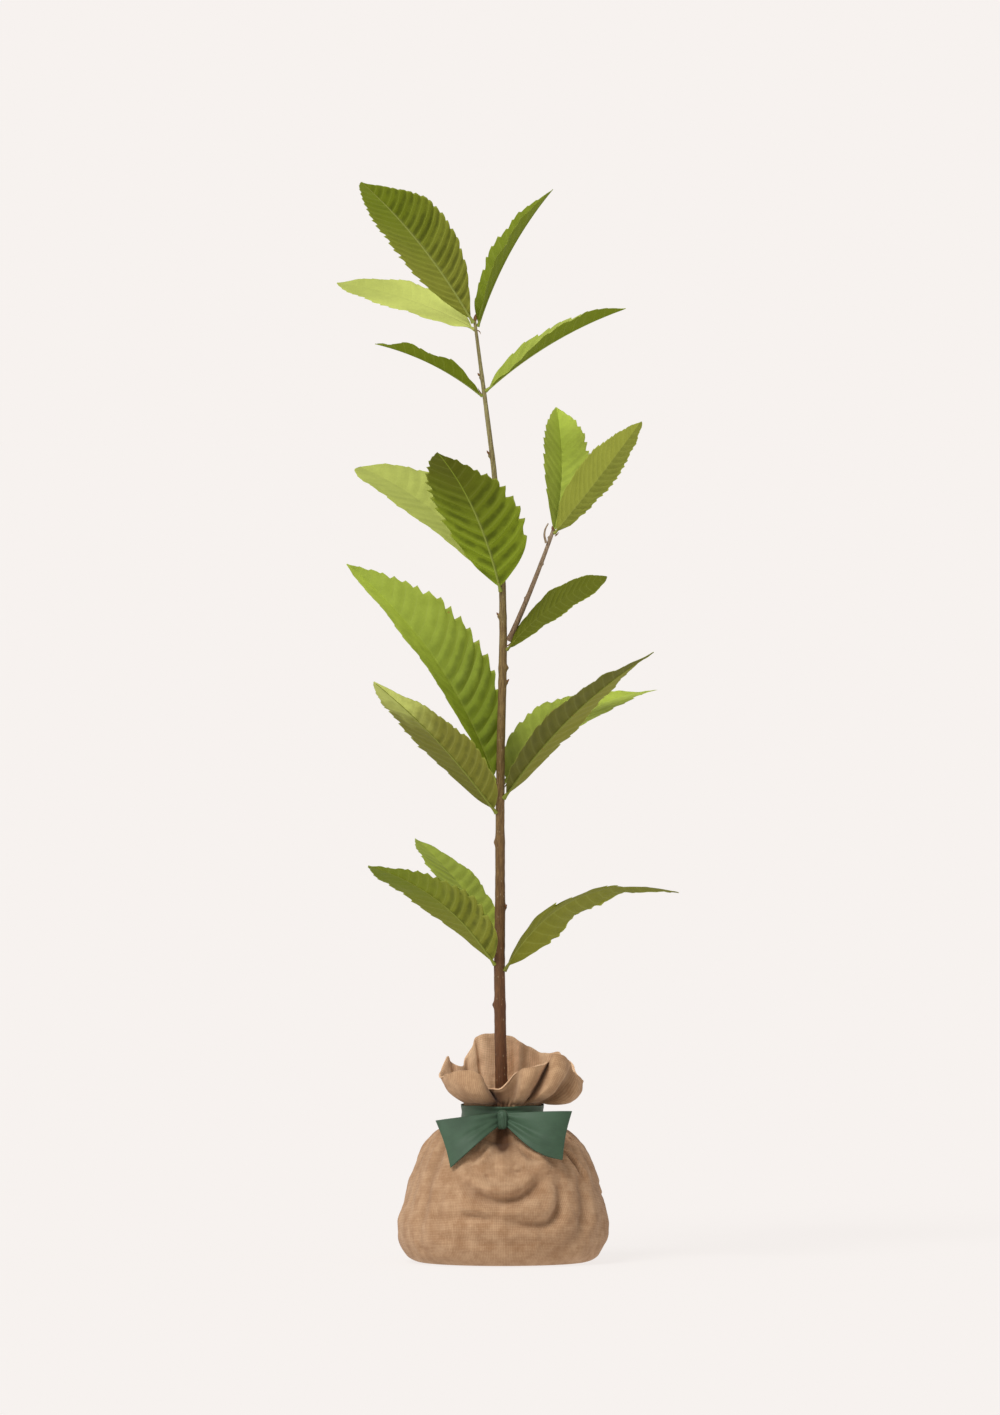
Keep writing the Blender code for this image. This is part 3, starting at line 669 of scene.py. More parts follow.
def folded_loop(side, end, sag, seed):
    """One loop as a strip. Its run goes out along the front, round the outer fold and back behind; across
    the ribbon it is straight from the lower to the upper edge. Pleats spread from the knot and die out,
    and the whole loop bulges forward."""
    run = np.linspace(0.015, 0.985, 150)[None, :]
    width = np.linspace(0, 1, 44)[:, None]
    out = (1 - np.cos(2 * pi * run)) / 2
    turn = np.sin(2 * pi * run)
    low, high = (np.array((side * x, y, z)) for x, y, z in LOOP_ROOT)
    end_low, end_high = (np.array(corner, float) for corner in end)
    root = low + (high - low) * width[..., None]
    tip = end_low + (end_high - end_low) * width[..., None]
    place = root + (tip - root) * out[..., None]
    thick = np.where(turn > 0, LOOP_FRONT, LOOP_BACK) * (0.35 + 0.65 * np.sqrt(out))
    pleat = 0.9 * np.sin(width * 15 + seed) * hump(out, 0.32)
    valley = -1.5 * hump(width - 0.52 + 0.16 * out, 0.11) * hump(out - 0.28, 0.3)
    ridge = hump(width - 0.34 + 0.1 * out, 0.12) * hump(out - 0.35, 0.3)
    front = np.clip(turn, 0, 1) ** 0.5
    wave = 0.7 * np.sin(5 * out + 3 * width + seed) * out
    forward = turn * thick + (pleat + valley + ridge) * front + wave
    forward = forward + LOOP_BULGE * np.sin(pi * out**0.8) * (1 - 0.75 * width)
    curl = 1.2 * np.sin(pi * width) * out**3 * side
    rise = 0.15 * forward - sag * np.sin(pi * out) * (1 - width)
    return place + np.stack((-curl, -forward, rise), axis=-1), on_cloth(run * LOOP_RUN, width * LOOP_WIDTH)


def wrapped_knot():
    """A rounded block, fuller in the middle, grooved from top to bottom by the folds of the ribbon."""
    polar = np.linspace(0.03, pi - 0.03, 60)[:, None]
    angle = once_round(120)

    def blunt(wave, power):
        return np.sign(wave) * np.abs(wave) ** power

    across = blunt(np.sin(polar), 0.55)
    fold = 1 - 0.09 * hump(np.cos(angle) + 0.36, 0.13) - 0.07 * hump(np.cos(angle) - 0.3, 0.1)
    waist = 1 - 0.07 * np.cos(2 * (polar - pi / 2)) ** 2
    x = KNOT_HALF[0] * across * blunt(np.cos(angle), 0.7) * waist
    y = KNOT_HALF[1] * across * blunt(np.sin(angle), 0.7) * fold
    z = KNOT_HALF[2] * blunt(np.cos(polar), 0.8) + 0 * angle
    points = np.stack((x, y, z), axis=-1) + np.array(KNOT_CENTRE)
    return points + 0.12 * lumps(points, 4, 21)[..., None]


RIBBON = srgb(58, 84, 62)
band_points, band_uv = tied_band()
band = build("ribbon_round_neck", [dict(points=band_points, uv=band_uv)])
thicken(band, RIBBON_CLOTH)
band.data.materials.append(satin("band satin", RIBBON, True))
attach(band, "root")
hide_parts("ribbon_band")
for loop_name, loop_side, loop_end, loop_sag, loop_seed in (
    ("bow_left", -1, LEFT_LOOP_END, 0, 0.6),
    ("bow_right", 1, RIGHT_LOOP_END, 6, 2.3),
):
    loop_points, loop_uv = folded_loop(loop_side, loop_end, loop_sag, loop_seed)
    loop = build(f"ribbon_{loop_name}", [dict(points=loop_points, uv=loop_uv, wraps=False)])
    thicken(loop, RIBBON_CLOTH)
    loop.data.materials.append(satin(f"{loop_name} satin", RIBBON, True))
    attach(loop, "root")
    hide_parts(loop_name)
knot = build("ribbon_knot", [dict(points=wrapped_knot(), caps=("start", "finish"))])
# The knot's satin is the ribbon's colour made a little darker, as painted shade on the pinched knot.
knot.data.materials.append(satin("knot satin", tuple(0.92 * part for part in RIBBON), False))
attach(knot, "root")
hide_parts("bow_knot")

# ---------------------------------------------------------------------------------------------------
# The stem. One slender woody shoot runs from the root ball to the topmost leaves. The bark is brown and
# smooth low down, and greener above, with pale lenticels, leaf scars and small buds at its nodes.

STEM_COURSE = (
    (104.0, -0.5, 5.4),
    (127, -0.6, 4.7),
    (165, -1.5, 4.3),
    (215, -2.2, 4.1),
    (259, -1.8, 3.8),
    (290, -1.7, 3.6),
    (330, -1.8, 3.3),
    (380, -1.2, 3.1),
    (430, 0, 3.0),
    (461, 0.6, 2.9),
    (500, 0, 2.5),
    (548, -3, 2.2),
    (586, -6.4, 1.95),
    (603, -8.5, 1.8),
    (641, -13.4, 1.6),
    (668, -17, 1.35),
    (695, -20.5, 1.15),
)
STEM_SWAY, STEM_SWAY_PERIOD = 2.5, 420
# Scars and buds: height, azimuth and size of the swelling, and length of the bud on it.
STEM_NODES = (
    (190, 205, 2.0, 0),
    (262, 340, 1.7, 2.6),
    (310, 215, 2.0, 0),
    (428, 0, 1.4, 3.2),
    (439, 10, 1.6, 0),
    (477, 170, 1.6, 3.4),
    (545, 20, 1.0, 2.6),
    (596, 200, 1.4, 4.0),
    (654, 170, 0.9, 3.0),
)
# Dry scales on the stem: the height of each foot, its reach, how it bows, and its width.
STIPULES = (
    (640, (-3.2, -1.5, 5.5), (-0.6, 0, 0), 0.8),
    (688, (2.6, -1.2, -3.2), (0.5, 0, 0.4), 0.7),
    (455, (3.4, -1.8, 3.0), (0.6, 0, -0.4), 0.8),
    (352, (-2.8, -2.2, 4.0), (-0.6, 0, 0), 0.8),
    (350, (2.6, 2.0, 4.2), (0.6, 0, 0), 0.7),
)
TIP_BUD_AT = 694
STEM_LOW, STEM_MIDDLE, STEM_HIGH = srgb(108, 68, 39), srgb(144, 117, 72), srgb(158, 150, 100)


def stem_axis(height):
    """The middle of the stem at these heights, and its radius, both straight between its nodes."""
    heights = [station for station, _, _ in STEM_COURSE]
    offset = np.interp(height, heights, [x for _, x, _ in STEM_COURSE])
    radius = np.interp(height, heights, [r for _, _, r in STEM_COURSE])
    sway = STEM_SWAY * np.sin(pi * (height - SACK_TOP) / STEM_SWAY_PERIOD) ** 2
    return np.stack((offset, sway, height + 0 * offset), axis=-1), radius


def limb(middle, radius, columns, marks=()):
    """Bark carried along a course: a ring round each point, with fine ridges along it, low knobs, and a
    swelling at each mark, given by where it is along the course, its azimuth and its size."""
    heading = unit(np.gradient(middle, axis=0))
    ahead = unit(np.cross(heading, (0, 1, 0)))
    aside = np.cross(heading, ahead)
    angle = once_round(columns)
    run = run_along(middle)[:, None]
    x, y = np.cos(angle) + 0 * run, np.sin(angle) + 0 * run
    ring = np.stack((x * 9, y * 9, run * 0.16 + 0 * angle), axis=-1)
    knobs = np.stack((x * 3, y * 3, run + 0 * angle), axis=-1)
    relief = 0.012 * lumps(ring, 5, 41) + 0.012 * lumps(knobs, 7, 42)
    width = radius[:, None] * (1 + relief)
    for station, azimuth, size in marks:
        away = (np.degrees(angle) - azimuth + 180) % 360 - 180
        spread = np.degrees(size / np.maximum(radius[:, None], 1))
        width = width + 0.85 * size * hump(away, spread) * hump(run - station, 1.1 * size)
        width = width + 0.12 * size * hump(run - station, 2.2 * size)
    points = middle[:, None] - width[..., None] * (
        np.cos(angle)[..., None] * ahead[:, None] - np.sin(angle)[..., None] * aside[:, None]
    )
    around = np.linspace(0, 2 * pi, columns + 1)[None, :] * 4
    return dict(points=points, caps=("start", "finish"), uv=on_cloth(around, run))


def ovoid(base, heading, length, width, columns=14):
    """A pointed bud: a ring whose radius grows with the root of the run and then shrinks to the tip."""
    heading = unit(np.array(heading, float))
    ahead = unit(np.cross(heading, (0.3, 0.9, 0.2)))
    aside = np.cross(heading, ahead)
    run = np.linspace(0.01, 0.995, 20)[:, None]
    angle = once_round(columns)
    scales = 1 + 0.1 * np.abs(np.sin(1.5 * angle + 7 * run))
    radius = width * 1.9 * run**0.5 * (1 - run) ** 0.75 * scales
    circle = np.cos(angle)[..., None] * ahead + np.sin(angle)[..., None] * aside
    points = np.array(base) + heading * (length * run)[..., None] + radius[..., None] * circle
    return dict(points=points, caps=("start", "finish"), values={"bud": 1.0})


def sliver(base, reach, bend, width):
    """A stipule: a narrow dry scale that tapers from its base to a point along a bowed course."""
    run = np.linspace(0, 1, 16)[:, None]
    angle = once_round(8)
    reach, bend = np.array(reach, float), np.array(bend, float)
    middle = np.array(base) + reach * run + bend * 4 * run * (1 - run)
    across = unit(np.cross(reach, (0, 1, 0)))
    flat = np.cross(unit(reach), across)
    radius = width * (1 - run) ** 0.7 * (0.35 + 2 * run * (1 - run)) + 0.04
    circle = np.cos(angle)[..., None] * across + 0.4 * np.sin(angle)[..., None] * flat
    points = middle[:, None] + radius[..., None] * circle
    return dict(points=points, caps=("start", "finish"), values={"bud": 0.7})


def azimuth_heading(azimuth, rise):
    return np.array((cos(radians(azimuth)), sin(radians(azimuth)), rise))


def bark(name, lowest, highest, low, middle, high):
    """Young bark: brown below, olive above, with dark streaks along the shoot, pale raised lenticels and
    a grey bloom; buds and scales are redder and drier."""
    skin = Finish(name, roughness=0.62, specular_ior_level=0.3)
    where = skin.place()
    along = skin.node("ShaderNodeSeparateXYZ", None, {0: where}, 2)
    share = (along - lowest) / (highest - lowest)
    streak = skin.noise(skin.place((1, 1, 0.07)), 1.6, 4.0, 0.6)
    patch = skin.noise(where, 0.11, 3.0)
    fine = skin.noise(skin.place((1, 1, 0.25)), 4.0, 3.0, 0.6)
    spot = skin.node("ShaderNodeTexVoronoi", None, {"Vector": skin.place((1, 1, 0.45)), "Scale": 0.42})
    lenticel = 1 - spot.step(0.1, 0.2)
    colour = skin.mix((share + 0.25 * patch - 0.12).step(0.05, 0.5), low, middle)
    colour = skin.mix((share + 0.3 * patch - 0.15).step(0.45, 0.95), colour, high)
    darker = skin.mix(0.6, colour, srgb(70, 44, 24))
    colour = skin.mix((streak + 0.4 * fine - 0.2).step(0.38, 0.62), darker, colour)
    colour = skin.mix(0.4 * lenticel, colour, srgb(190, 170, 134))
    bud = skin.value("bud")
    colour = skin.mix(0.8 * bud, colour, skin.mix(fine, srgb(96, 54, 30), srgb(150, 96, 58)))
    skin.feed("Base Color", colour)
    skin.feed("Roughness", 0.5 + 0.25 * streak)
    skin.relief(streak + 0.5 * fine + 0.7 * lenticel, 0.28, 0.8)
    return skin.material


stem_heights = np.linspace(STEM_COURSE[0][0], STEM_COURSE[-1][0], 760)
stem_middle, stem_radius = stem_axis(stem_heights)
marks = [(height - STEM_COURSE[0][0], azimuth, size) for height, azimuth, size, _ in STEM_NODES]
stem_patches = [limb(stem_middle, stem_radius, 40, marks)]
for node_height, node_azimuth, node_size, bud_length in STEM_NODES:
    if bud_length:
        node_middle, node_radius = stem_axis(np.array(float(node_height)))
        seat = node_middle + azimuth_heading(node_azimuth, 0) * (node_radius + 0.1 * node_size)
        stem_patches.append(ovoid(seat, azimuth_heading(node_azimuth, 1.5), bud_length, 0.9))
for base_height, reach, bend, width in STIPULES:
    stipule_middle, stipule_radius = stem_axis(np.array(float(base_height)))
    outward = unit(np.array((reach[0], reach[1], 0.0)))
    foot = stipule_middle + outward * stipule_radius * 0.9
    stem_patches.append(sliver(foot, reach, bend, width))
tip_middle, _ = stem_axis(np.array(float(TIP_BUD_AT)))
stem_patches.append(ovoid(tip_middle, (0.1, -0.2, 1), 6.0, 1.5))
stem = build("woody_stem", stem_patches)
stem.data.materials.append(bark("stem bark", 120, 690, STEM_LOW, STEM_MIDDLE, STEM_HIGH))
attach(stem, "root")
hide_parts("stem")

# ---------------------------------------------------------------------------------------------------
# The side branch. A thin twig leaves the stem just above a leaf and carries two leaves at its end. A
# short spur forks from it below them, and small dry scales sit beside their stalks.

GAP = 0.3
BRANCH_HEIGHT = 461
BRANCH_REACH, BRANCH_BOW = (32, 3, 80), -1
BRANCH_RADII = (2.1, 1.3)
BRANCH_LEAVES_AT = 0.975
STALK_RADIUS = 1.1
SPUR_COURSE = ((32.2, 2.0, 531), (30.8, 1.2, 536.5), (31.4, 0.8, 541), (33.8, 1.0, 545.5))
# The twig's foot flares just above the gap; its scars are given as on the stem.
FLARE_FROM, FLARE_TO, FLARE_RADIUS = -0.03, 0.04, 2.7
TWIG_NODES = ((34, 200, 0.8), (62, 20, 0.7), (82, 180, 0.9))
TWIG_LOW, TWIG_MIDDLE, TWIG_HIGH = srgb(132, 106, 78), srgb(158, 134, 106), srgb(172, 152, 126)


def arch(base, reach, bow, sway, share):
    """A limb's course at these shares of its length: a straight reach, raised by a parabola of height bow
    and pushed sideways by one of width sway. Also its direction, and its upward and right-hand normals."""
    reach = np.array(reach, float)
    along = unit(reach)
    upward = unit(np.array((0, 0, 1)) - along * along[2])
    offset = upward * bow + np.cross(along, upward) * sway
    share = np.asarray(share, float)[..., None]
    place = base + reach * share + offset * 4 * share * (1 - share)
    heading = unit(reach + offset * (4 - 8 * share))
    lift = unit(upward - heading * (heading @ upward)[..., None])
    return place, heading, lift, np.cross(heading, lift)


def seated(middle, radius, reach, bow, sway, foot_radius):
    """Where a limb's foot starts, a small gap clear of the side of what carries it."""
    heading = arch(np.zeros(3), reach, bow, sway, [0.0])[1][0]
    outward = unit(np.array((heading[0], heading[1], 0)))
    return middle + outward * (radius + GAP + foot_radius * abs(heading[2]))


fork_middle, fork_radius = stem_axis(np.array(float(BRANCH_HEIGHT)))
branch_base = seated(fork_middle, fork_radius, BRANCH_REACH, BRANCH_BOW, 0, BRANCH_RADII[0])
branch_shares = np.linspace(FLARE_FROM, 1, 200)
branch_middle = arch(branch_base, BRANCH_REACH, BRANCH_BOW, 0, branch_shares)[0]
branch_radius = np.interp(branch_shares, (FLARE_FROM, FLARE_TO, 1), (FLARE_RADIUS, *BRANCH_RADII))
twig = limb(branch_middle, branch_radius, 30, TWIG_NODES)
spur_middle = evenly(SPUR_COURSE, 60, 30)
spur = limb(spur_middle, np.linspace(0.95, 0.5, 60), 16)
branch_end = branch_middle[-1]
branch = build(
    "side_twig",
    [
        twig,
        spur,
        sliver(branch_end + (1.0, -0.6, -5), (3.0, -1.4, 3.4), (0.5, 0, 0), 0.7),
        sliver(branch_end + (0.6, -0.8, -1.5), (2.8, -1.2, 2.6), (0.5, 0, 0), 0.6),
        ovoid(branch_end - (0.2, 0.4, 1.5), (-0.2, -0.3, 1), 4.5, 1.1),
    ],
)
branch.data.materials.append(bark("twig bark", 440, 560, TWIG_LOW, TWIG_MIDDLE, TWIG_HIGH))
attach(branch, "root")
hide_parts("side_branch")

# ---------------------------------------------------------------------------------------------------
# The leaves. Each is one long blade with a forward-pointing tooth at the end of every side vein. The
# blade is puffed up between the veins, so they lie in grooves above and stand out as ribs below, and the
# midrib runs on as a short stalk. The upper side is satin green, the underside duller and paler.

VEIN_LEAN = 0.7
STALK_SHARE = 0.014
TOOTH_PHASES = (0, 0.04, 0.09, 0.16, 0.26, 0.38, 0.5, 0.62, 0.74, 0.85, 0.94)
ACROSS = (0, 0.02, 0.05, 0.1, 0.17, 0.26, 0.36, 0.46, 0.56, 0.66, 0.75, 0.83, 0.9, 0.95, 0.98, 1)
BLADE = 0.5
RIB_RADII = (1.2, 0.8, 0.25)
# The greens of the plant, from the palest young leaf to the oldest one in shade. Besides each leaf's own
# green they carry painted light and shade: leaves and parts that face the light are given paler greens,
# those turned away darker ones.
PALE_LIME, LIME, SOFT_LIME = srgb(215, 225, 120), srgb(195, 215, 85), srgb(180, 190, 95)
FRESH, GRASS, SAGE = srgb(155, 170, 65), srgb(145, 165, 40), srgb(145, 150, 55)
MOSS, FULL_GREEN = srgb(140, 140, 55), srgb(120, 135, 25)
OLIVE, DEEP = srgb(112, 112, 32), srgb(92, 98, 15)
UPPER_GREENS, UNDER_GREENS = (FULL_GREEN, FULL_GREEN), (MOSS, SAGE)
BLACK, VEIN_GREEN, EDGE_GREEN = (0, 0, 0), srgb(176, 184, 108), srgb(178, 188, 84)
PAINTED_PLEAT_SHADE, BLOTCH, SPECK_BROWN = srgb(34, 42, 0), srgb(58, 66, 2), srgb(150, 98, 50)
PLAIN, TURN = (0.5, 0.95), (0.1, 0.85)
RIB_FOOT, RIB_TIP, USUAL_LENGTH = -0.012, 0.985, 135
# What carries each leaf and how high, its reach (right, back, up), width, the rise of its midrib, sway,
# roll, twist, and how far its halves fold up; its pairs of veins, the height of its wavy edge, and how
# pale its midrib is; for each half, its share of the width, how full its base and its tip are, the depth
# of its teeth and the height of its puffs; and the colours of each side from the base to the tip, which
# hold painted light and shade besides the leaf's own green. Some also say where along them the colours
# turn, where the pleats die out, and how much painted shade darkens each half.
LEAVES = {
    "leaf_top_front": dict(
        at=695, reach=(-81, -60, 102), width=58, bow=6, roll=-24, fold=13, pairs=20, wave=0.8, rib=0.6,
        left=(1.06, 1.1, 1.35, 0.07, 2.2), right=(1.02, 0.42, 0.8, 0.08, 0.7),
        under=(SAGE, FULL_GREEN), plain=(0.72, 1.0)),
    "leaf_top_back": dict(
        at=689, reach=(-101, 60, 34), width=44, bow=5, roll=25, fold=3, pairs=15, wave=0.6, rib=0.2,
        left=(0.88, 0.6, 0.8, 0.07, 0.12), right=(1.0, 0.6, 1.0, 0.04, 0.12),
        upper=(PALE_LIME, SOFT_LIME)),
    "leaf_top_right": dict(
        at=692, reach=(55, 25, 100), width=36, bow=6, roll=5, fold=38, pairs=13, wave=0.6, rib=0.2,
        left=(0.92, 0.6, 1.05, 0.14, 0.35), right=(0.95, 0.6, 1.05, 0.1, 0.3),
        under=(FULL_GREEN, FULL_GREEN), upper=(FULL_GREEN, FULL_GREEN)),
    "leaf_upper_left": dict(
        at=640, reach=(-78, -20, 38), width=28, bow=5, roll=-5, fold=30, pairs=11, wave=1.4, rib=0.2,
        left=(0.95, 0.6, 1.0, 0.1, 0.4), right=(0.95, 0.6, 1.0, 0.1, 0.4),
        under=(FULL_GREEN, FULL_GREEN), upper=(FULL_GREEN, FULL_GREEN)),
    "leaf_upper_right": dict(
        at=644, reach=(102, -30, 60), width=42, bow=6, roll=-11, twist=45, fold=28, pairs=14,
        wave=0.6, rib=0.2,
        left=(1.02, 0.8, 1.0, 0.16, 0.5), right=(0.78, 1.3, 1.15, 0.09, 0.3),
        upper=(FRESH, SOFT_LIME), under=(FULL_GREEN, FULL_GREEN)),
    "leaf_branch_back": dict(
        at="branch", reach=(2, 60, 92), width=44, bow=-2, sway=5, roll=-17, fold=35, pairs=13,
        wave=0.6, rib=0.25,
        left=(1.0, 0.7, 1.0, 0.09, 0.7), right=(1.0, 0.75, 1.05, 0.1, 0.7),
        upper=(FRESH, LIME), shade=(0.12, 0)),
    "leaf_branch_right": dict(
        at="branch", reach=(63, -30, 82), width=45, bow=-1, roll=-55, fold=5, pairs=19, wave=0.6, rib=0.15,
        left=(1.18, 0.34, 1.0, 0.06, 0.35), right=(0.95, 0.6, 0.85, 0.09, 0.9),
        upper=(SAGE, SAGE), shade=(0.06, 0.32)),
    "leaf_middle_back": dict(
        at=502, reach=(-102, 70, 84), width=50, bow=10, roll=17, fold=7, pairs=14, wave=0.8, rib=0.2,
        left=(0.98, 0.7, 0.62, 0.03, 0.5), right=(1.42, 0.7, 0.95, 0.05, 0.6),
        upper=(SOFT_LIME, SOFT_LIME)),
    "leaf_middle_front": dict(
        at=497, reach=(-46, -85, 102), width=65, bow=11, roll=-15, fold=14, pairs=12, wave=0.8, rib=0.5,
        left=(1.03, 0.32, 1.2, 0.15, 2.4), right=(1.0, 0.5, 0.95, 0.12, 2.2),
        under=(GRASS, DEEP), plain=(0.45, 0.72)),
    "leaf_fork_right": dict(
        at=453, reach=(73, -40, 54), width=34, bow=6, roll=-45, fold=5, pairs=16, wave=0.7, rib=0.1,
        left=(1.0, 0.5, 0.95, 0.05, 0.9), right=(1.28, 0.45, 0.62, 0.05, 0.25),
        upper=(DEEP, DEEP)),
    "leaf_lower_long": dict(
        at=356, reach=(-109, 30, 159), width=66, bow=14, roll=35, fold=33, pairs=18, wave=0.8, rib=0.12,
        left=(1.0, 0.55, 0.75, 0.04, 0.5), right=(1.1, 0.62, 1.15, 0.14, 1.9),
        upper=(GRASS, LIME), shade=(0, 0.33), plain=(0.3, 0.62)),
    "leaf_lower_left": dict(
        at=333, reach=(-89, -60, 97), width=58, bow=5, roll=-8, fold=7, pairs=17, wave=0.8, rib=0.15,
        left=(1.02, 0.42, 1.1, 0.09, 1.3), right=(1.12, 0.5, 0.9, 0.07, 0.35),
        under=(MOSS, PALE_LIME), turn=(0.5, 0.85), shade=(0, 0.24)),
    "leaf_lower_front": dict(
        at=344, reach=(109, -75, 108), width=50, bow=9, roll=4, fold=4, pairs=17, wave=0.8, rib=0.12,
        left=(1.0, 0.55, 1.5, 0.09, 0.4), right=(1.0, 0.6, 1.15, 0.08, 0.8),
        under=(MOSS, MOSS), shade=(0, 0.46)),
    "leaf_lower_back": dict(
        at=355, reach=(104, 90, 64), width=52, bow=13, roll=-5, fold=12, pairs=15, wave=0.8, rib=0.15,
        left=(1.32, 0.5, 1.2, 0.09, 0.6), right=(1.5, 0.8, 0.8, 0.06, 0.4),
        upper=(FRESH, LIME), under=(FRESH, LIME)),
    "leaf_bottom_front": dict(
        at=221, reach=(-92, -60, 74), width=54, bow=12, roll=-15, fold=4, pairs=15, wave=0.8, rib=0.12,
        left=(1.14, 0.4, 1.08, 0.22, 2.2), right=(0.95, 0.72, 0.9, 0.06, 0.3),
        under=(SAGE, FULL_GREEN), shade=(0, 0.18), plain=(0.3, 0.65)),
    "leaf_bottom_back": dict(
        at=239, reach=(-60, 80, 71), width=48, bow=5, roll=-7, fold=8, pairs=12, wave=0.6, rib=0.15,
        left=(1.0, 0.65, 1.05, 0.07, 0.9), right=(0.86, 0.55, 1.0, 0.06, 1.0),
        upper=(FRESH, FRESH)),
    "leaf_bottom_right": dict(
        at=217, reach=(127, -60, 58), width=56, bow=26, roll=-21, twist=62, fold=-8, pairs=15,
        wave=1.6, rib=0.1,
        left=(0.9, 0.5, 1.0, 0.22, 0.3), right=(1.5, 0.55, 1.0, 0.12, 0.35),
        upper=(OLIVE, OLIVE), under=(OLIVE, OLIVE)),
}


def eased(share):
    """From 0 to 1 along a smooth step."""
    share = np.clip(share, 0, 1)
    return share**2 * (3 - 2 * share)


def clearness(leaf, along):
    """How clear the pleats and the midrib are, from 1 near the base to a fifth in the plain part."""
    plain_from, plain_to = leaf.get("plain", PLAIN)
    return 1 - 0.8 * eased((along - plain_from) / (plain_to - plain_from))


def leaf_base(leaf):
    """Where the leaf's stalk starts, on the side of the stem or at the branch's end."""
    if leaf["at"] == "branch":
        middle = arch(branch_base, BRANCH_REACH, BRANCH_BOW, 0, [BRANCH_LEAVES_AT])[0][0]
        radius = BRANCH_RADII[1]
    else:
        middle, radius = stem_axis(np.array(float(leaf["at"])))
    return seated(middle, radius, leaf["reach"], leaf["bow"], leaf.get("sway", 0), STALK_RADIUS)


def leaf_frame(leaf, base, share):
    """The midrib at these shares of its length, with the directions across the blade and out of its upper
    face: the arch's right-hand and upward normals, turned about it by the roll and a share of the twist."""
    place, _, lift, right = arch(base, leaf["reach"], leaf["bow"], leaf.get("sway", 0), share)
    turn = np.radians(leaf["roll"] + leaf.get("twist", 0) * (share - 0.5))[..., None]
    return place, np.cos(turn) * right + np.sin(turn) * lift, np.cos(turn) * lift - np.sin(turn) * right


def leaf_blade(leaf, base, seed):
    """The blade as a closed ring across it, over the top and back underneath. Each half's width rises and
    falls as powers of the share along the midrib, and is notched past each vein. Points move towards the
    tip as they go outwards, so side veins lean forward. Across, the blade folds up along the midrib and
    turns with roll and twist; between veins it is puffed by a power of a sine, and its edge waves."""
    length, pairs = float(np.linalg.norm(leaf["reach"])), leaf["pairs"]
    along = np.append((np.arange(pairs)[:, None] + TOOTH_PHASES).ravel() / pairs, 1.0)[:, None]
    half_ring = np.array(ACROSS)
    over = np.concatenate((-half_ring[:0:-1], half_ring))
    side = np.concatenate((over, over[-2:0:-1]))[None, :]
    upper = np.concatenate((np.ones(len(over)), np.zeros(len(over) - 2)))[None, :]
    edge = np.abs(side)
    share_wide, base_full, tip_full, tooth, puff = (
        np.where(side < 0, left, right) for left, right in zip(leaf["left"], leaf["right"]))
    widest = base_full / (base_full + tip_full)
    fullest = widest**base_full * (1 - widest) ** tip_full
    outline = along**base_full * (1 - along) ** tip_full / fullest
    half = leaf["width"] / 2 * share_wide * outline
    phase = np.where(along < 1, (along * pairs) % 1, 0)
    phase = np.where(phase > 0.999, 0, phase)
    dice = np.random.default_rng(seed)
    uneven = 1 + 0.35 * np.sin(along * pairs * 2.3 + dice.uniform(0, 6) + np.sign(side) * 1.3)
    notch = np.where(phase < 0.16, phase / 0.16, (1 - phase) / 0.84) ** 0.85
    toothed = np.clip((along - 0.04) / 0.1, 0, 1)
    spread = half * (1 - tooth * uneven * notch * edge**5 * toothed)
    near_vein = np.exp(-np.minimum(phase, (1 - phase) * 1.6) / 0.1)
    hook = 0.2 / pairs * near_vein * edge**8 * toothed * (1 - along)
    lean = VEIN_LEAN * half / length * edge**1.3
    share = np.clip(STALK_SHARE + along * (1 - STALK_SHARE) + lean + hook, 0, 1)
    place, cross, normal = leaf_frame(leaf, base, share)
    fold = radians(leaf["fold"])
    reach = (side * spread)[..., None]
    place = place + cross * reach * cos(fold) + normal * np.abs(reach) * sin(fold)
    broad = np.sqrt(outline)
    swell = np.clip(edge / 0.16, 0, 1) ** 0.7 * (1 - 0.4 * edge**4)
    clear = clearness(leaf, along)
    strength = 0.75 + 0.35 * np.sin(along * pairs * 1.7 + dice.uniform(0, 6) + np.sign(side))
    puffed = puff * np.sin(pi * phase**0.9) ** 1.2 * swell * broad * clear * strength
    turns = dice.uniform(2.1, 3.2)
    ripple = np.sin(2 * pi * (turns * along + dice.uniform(0, 1)) + np.sign(side) * 1.2)
    wavy = leaf["wave"] * edge**2 * broad * ripple
    cockled = 0.3 * lumps(place, 16, seed) * edge
    from_vein = np.minimum(phase, 1 - phase) * length / pairs
    ribbed = 0.22 * hump(from_vein, 0.5) * (1 - edge**3) * broad * (1 - upper)
    wall = BLADE / 2 * np.sqrt(1 - edge**6) * (2 * upper - 1) - ribbed
    place = place + normal * (puffed + wavy + cockled + wall)[..., None]
    v = np.append(side, side[:, :1], axis=1) / 2 + 0.5
    uv = on_cloth(along * pairs, v)
    return dict(points=place, uv=uv, caps=("start",), values={"upper": upper, "clear": clear})


def leaf_rib(leaf, base):
    """The stalk and midrib: a ring carried along the leaf's own arch, thick at the foot and thin at the
    tip, set a little below the blade so that it stands out more on the underside."""
    share = np.linspace(RIB_FOOT, RIB_TIP, 110)
    place, cross, normal = leaf_frame(leaf, base, share)
    scale = float(np.linalg.norm(leaf["reach"])) / USUAL_LENGTH
    radius = np.interp(share, (RIB_FOOT, 0.06, 1), RIB_RADII) * scale**0.5
    radius = radius * (1 + 0.35 * hump(share - RIB_FOOT, 0.018))
    drop = np.clip(share / 0.05, 0, 1) * 0.5
    middle = place - normal * (radius * drop)[:, None]
    angle = once_round(12)[..., None]
    circle = np.cos(angle) * cross[:, None] - np.sin(angle) * normal[:, None]
    ring = middle[:, None] + radius[:, None, None] * circle
    values = {"rib": 1.0, "upper": 0.5, "clear": clearness(leaf, share[:, None])}
    return dict(points=ring, caps=("start", "finish"), values=values)


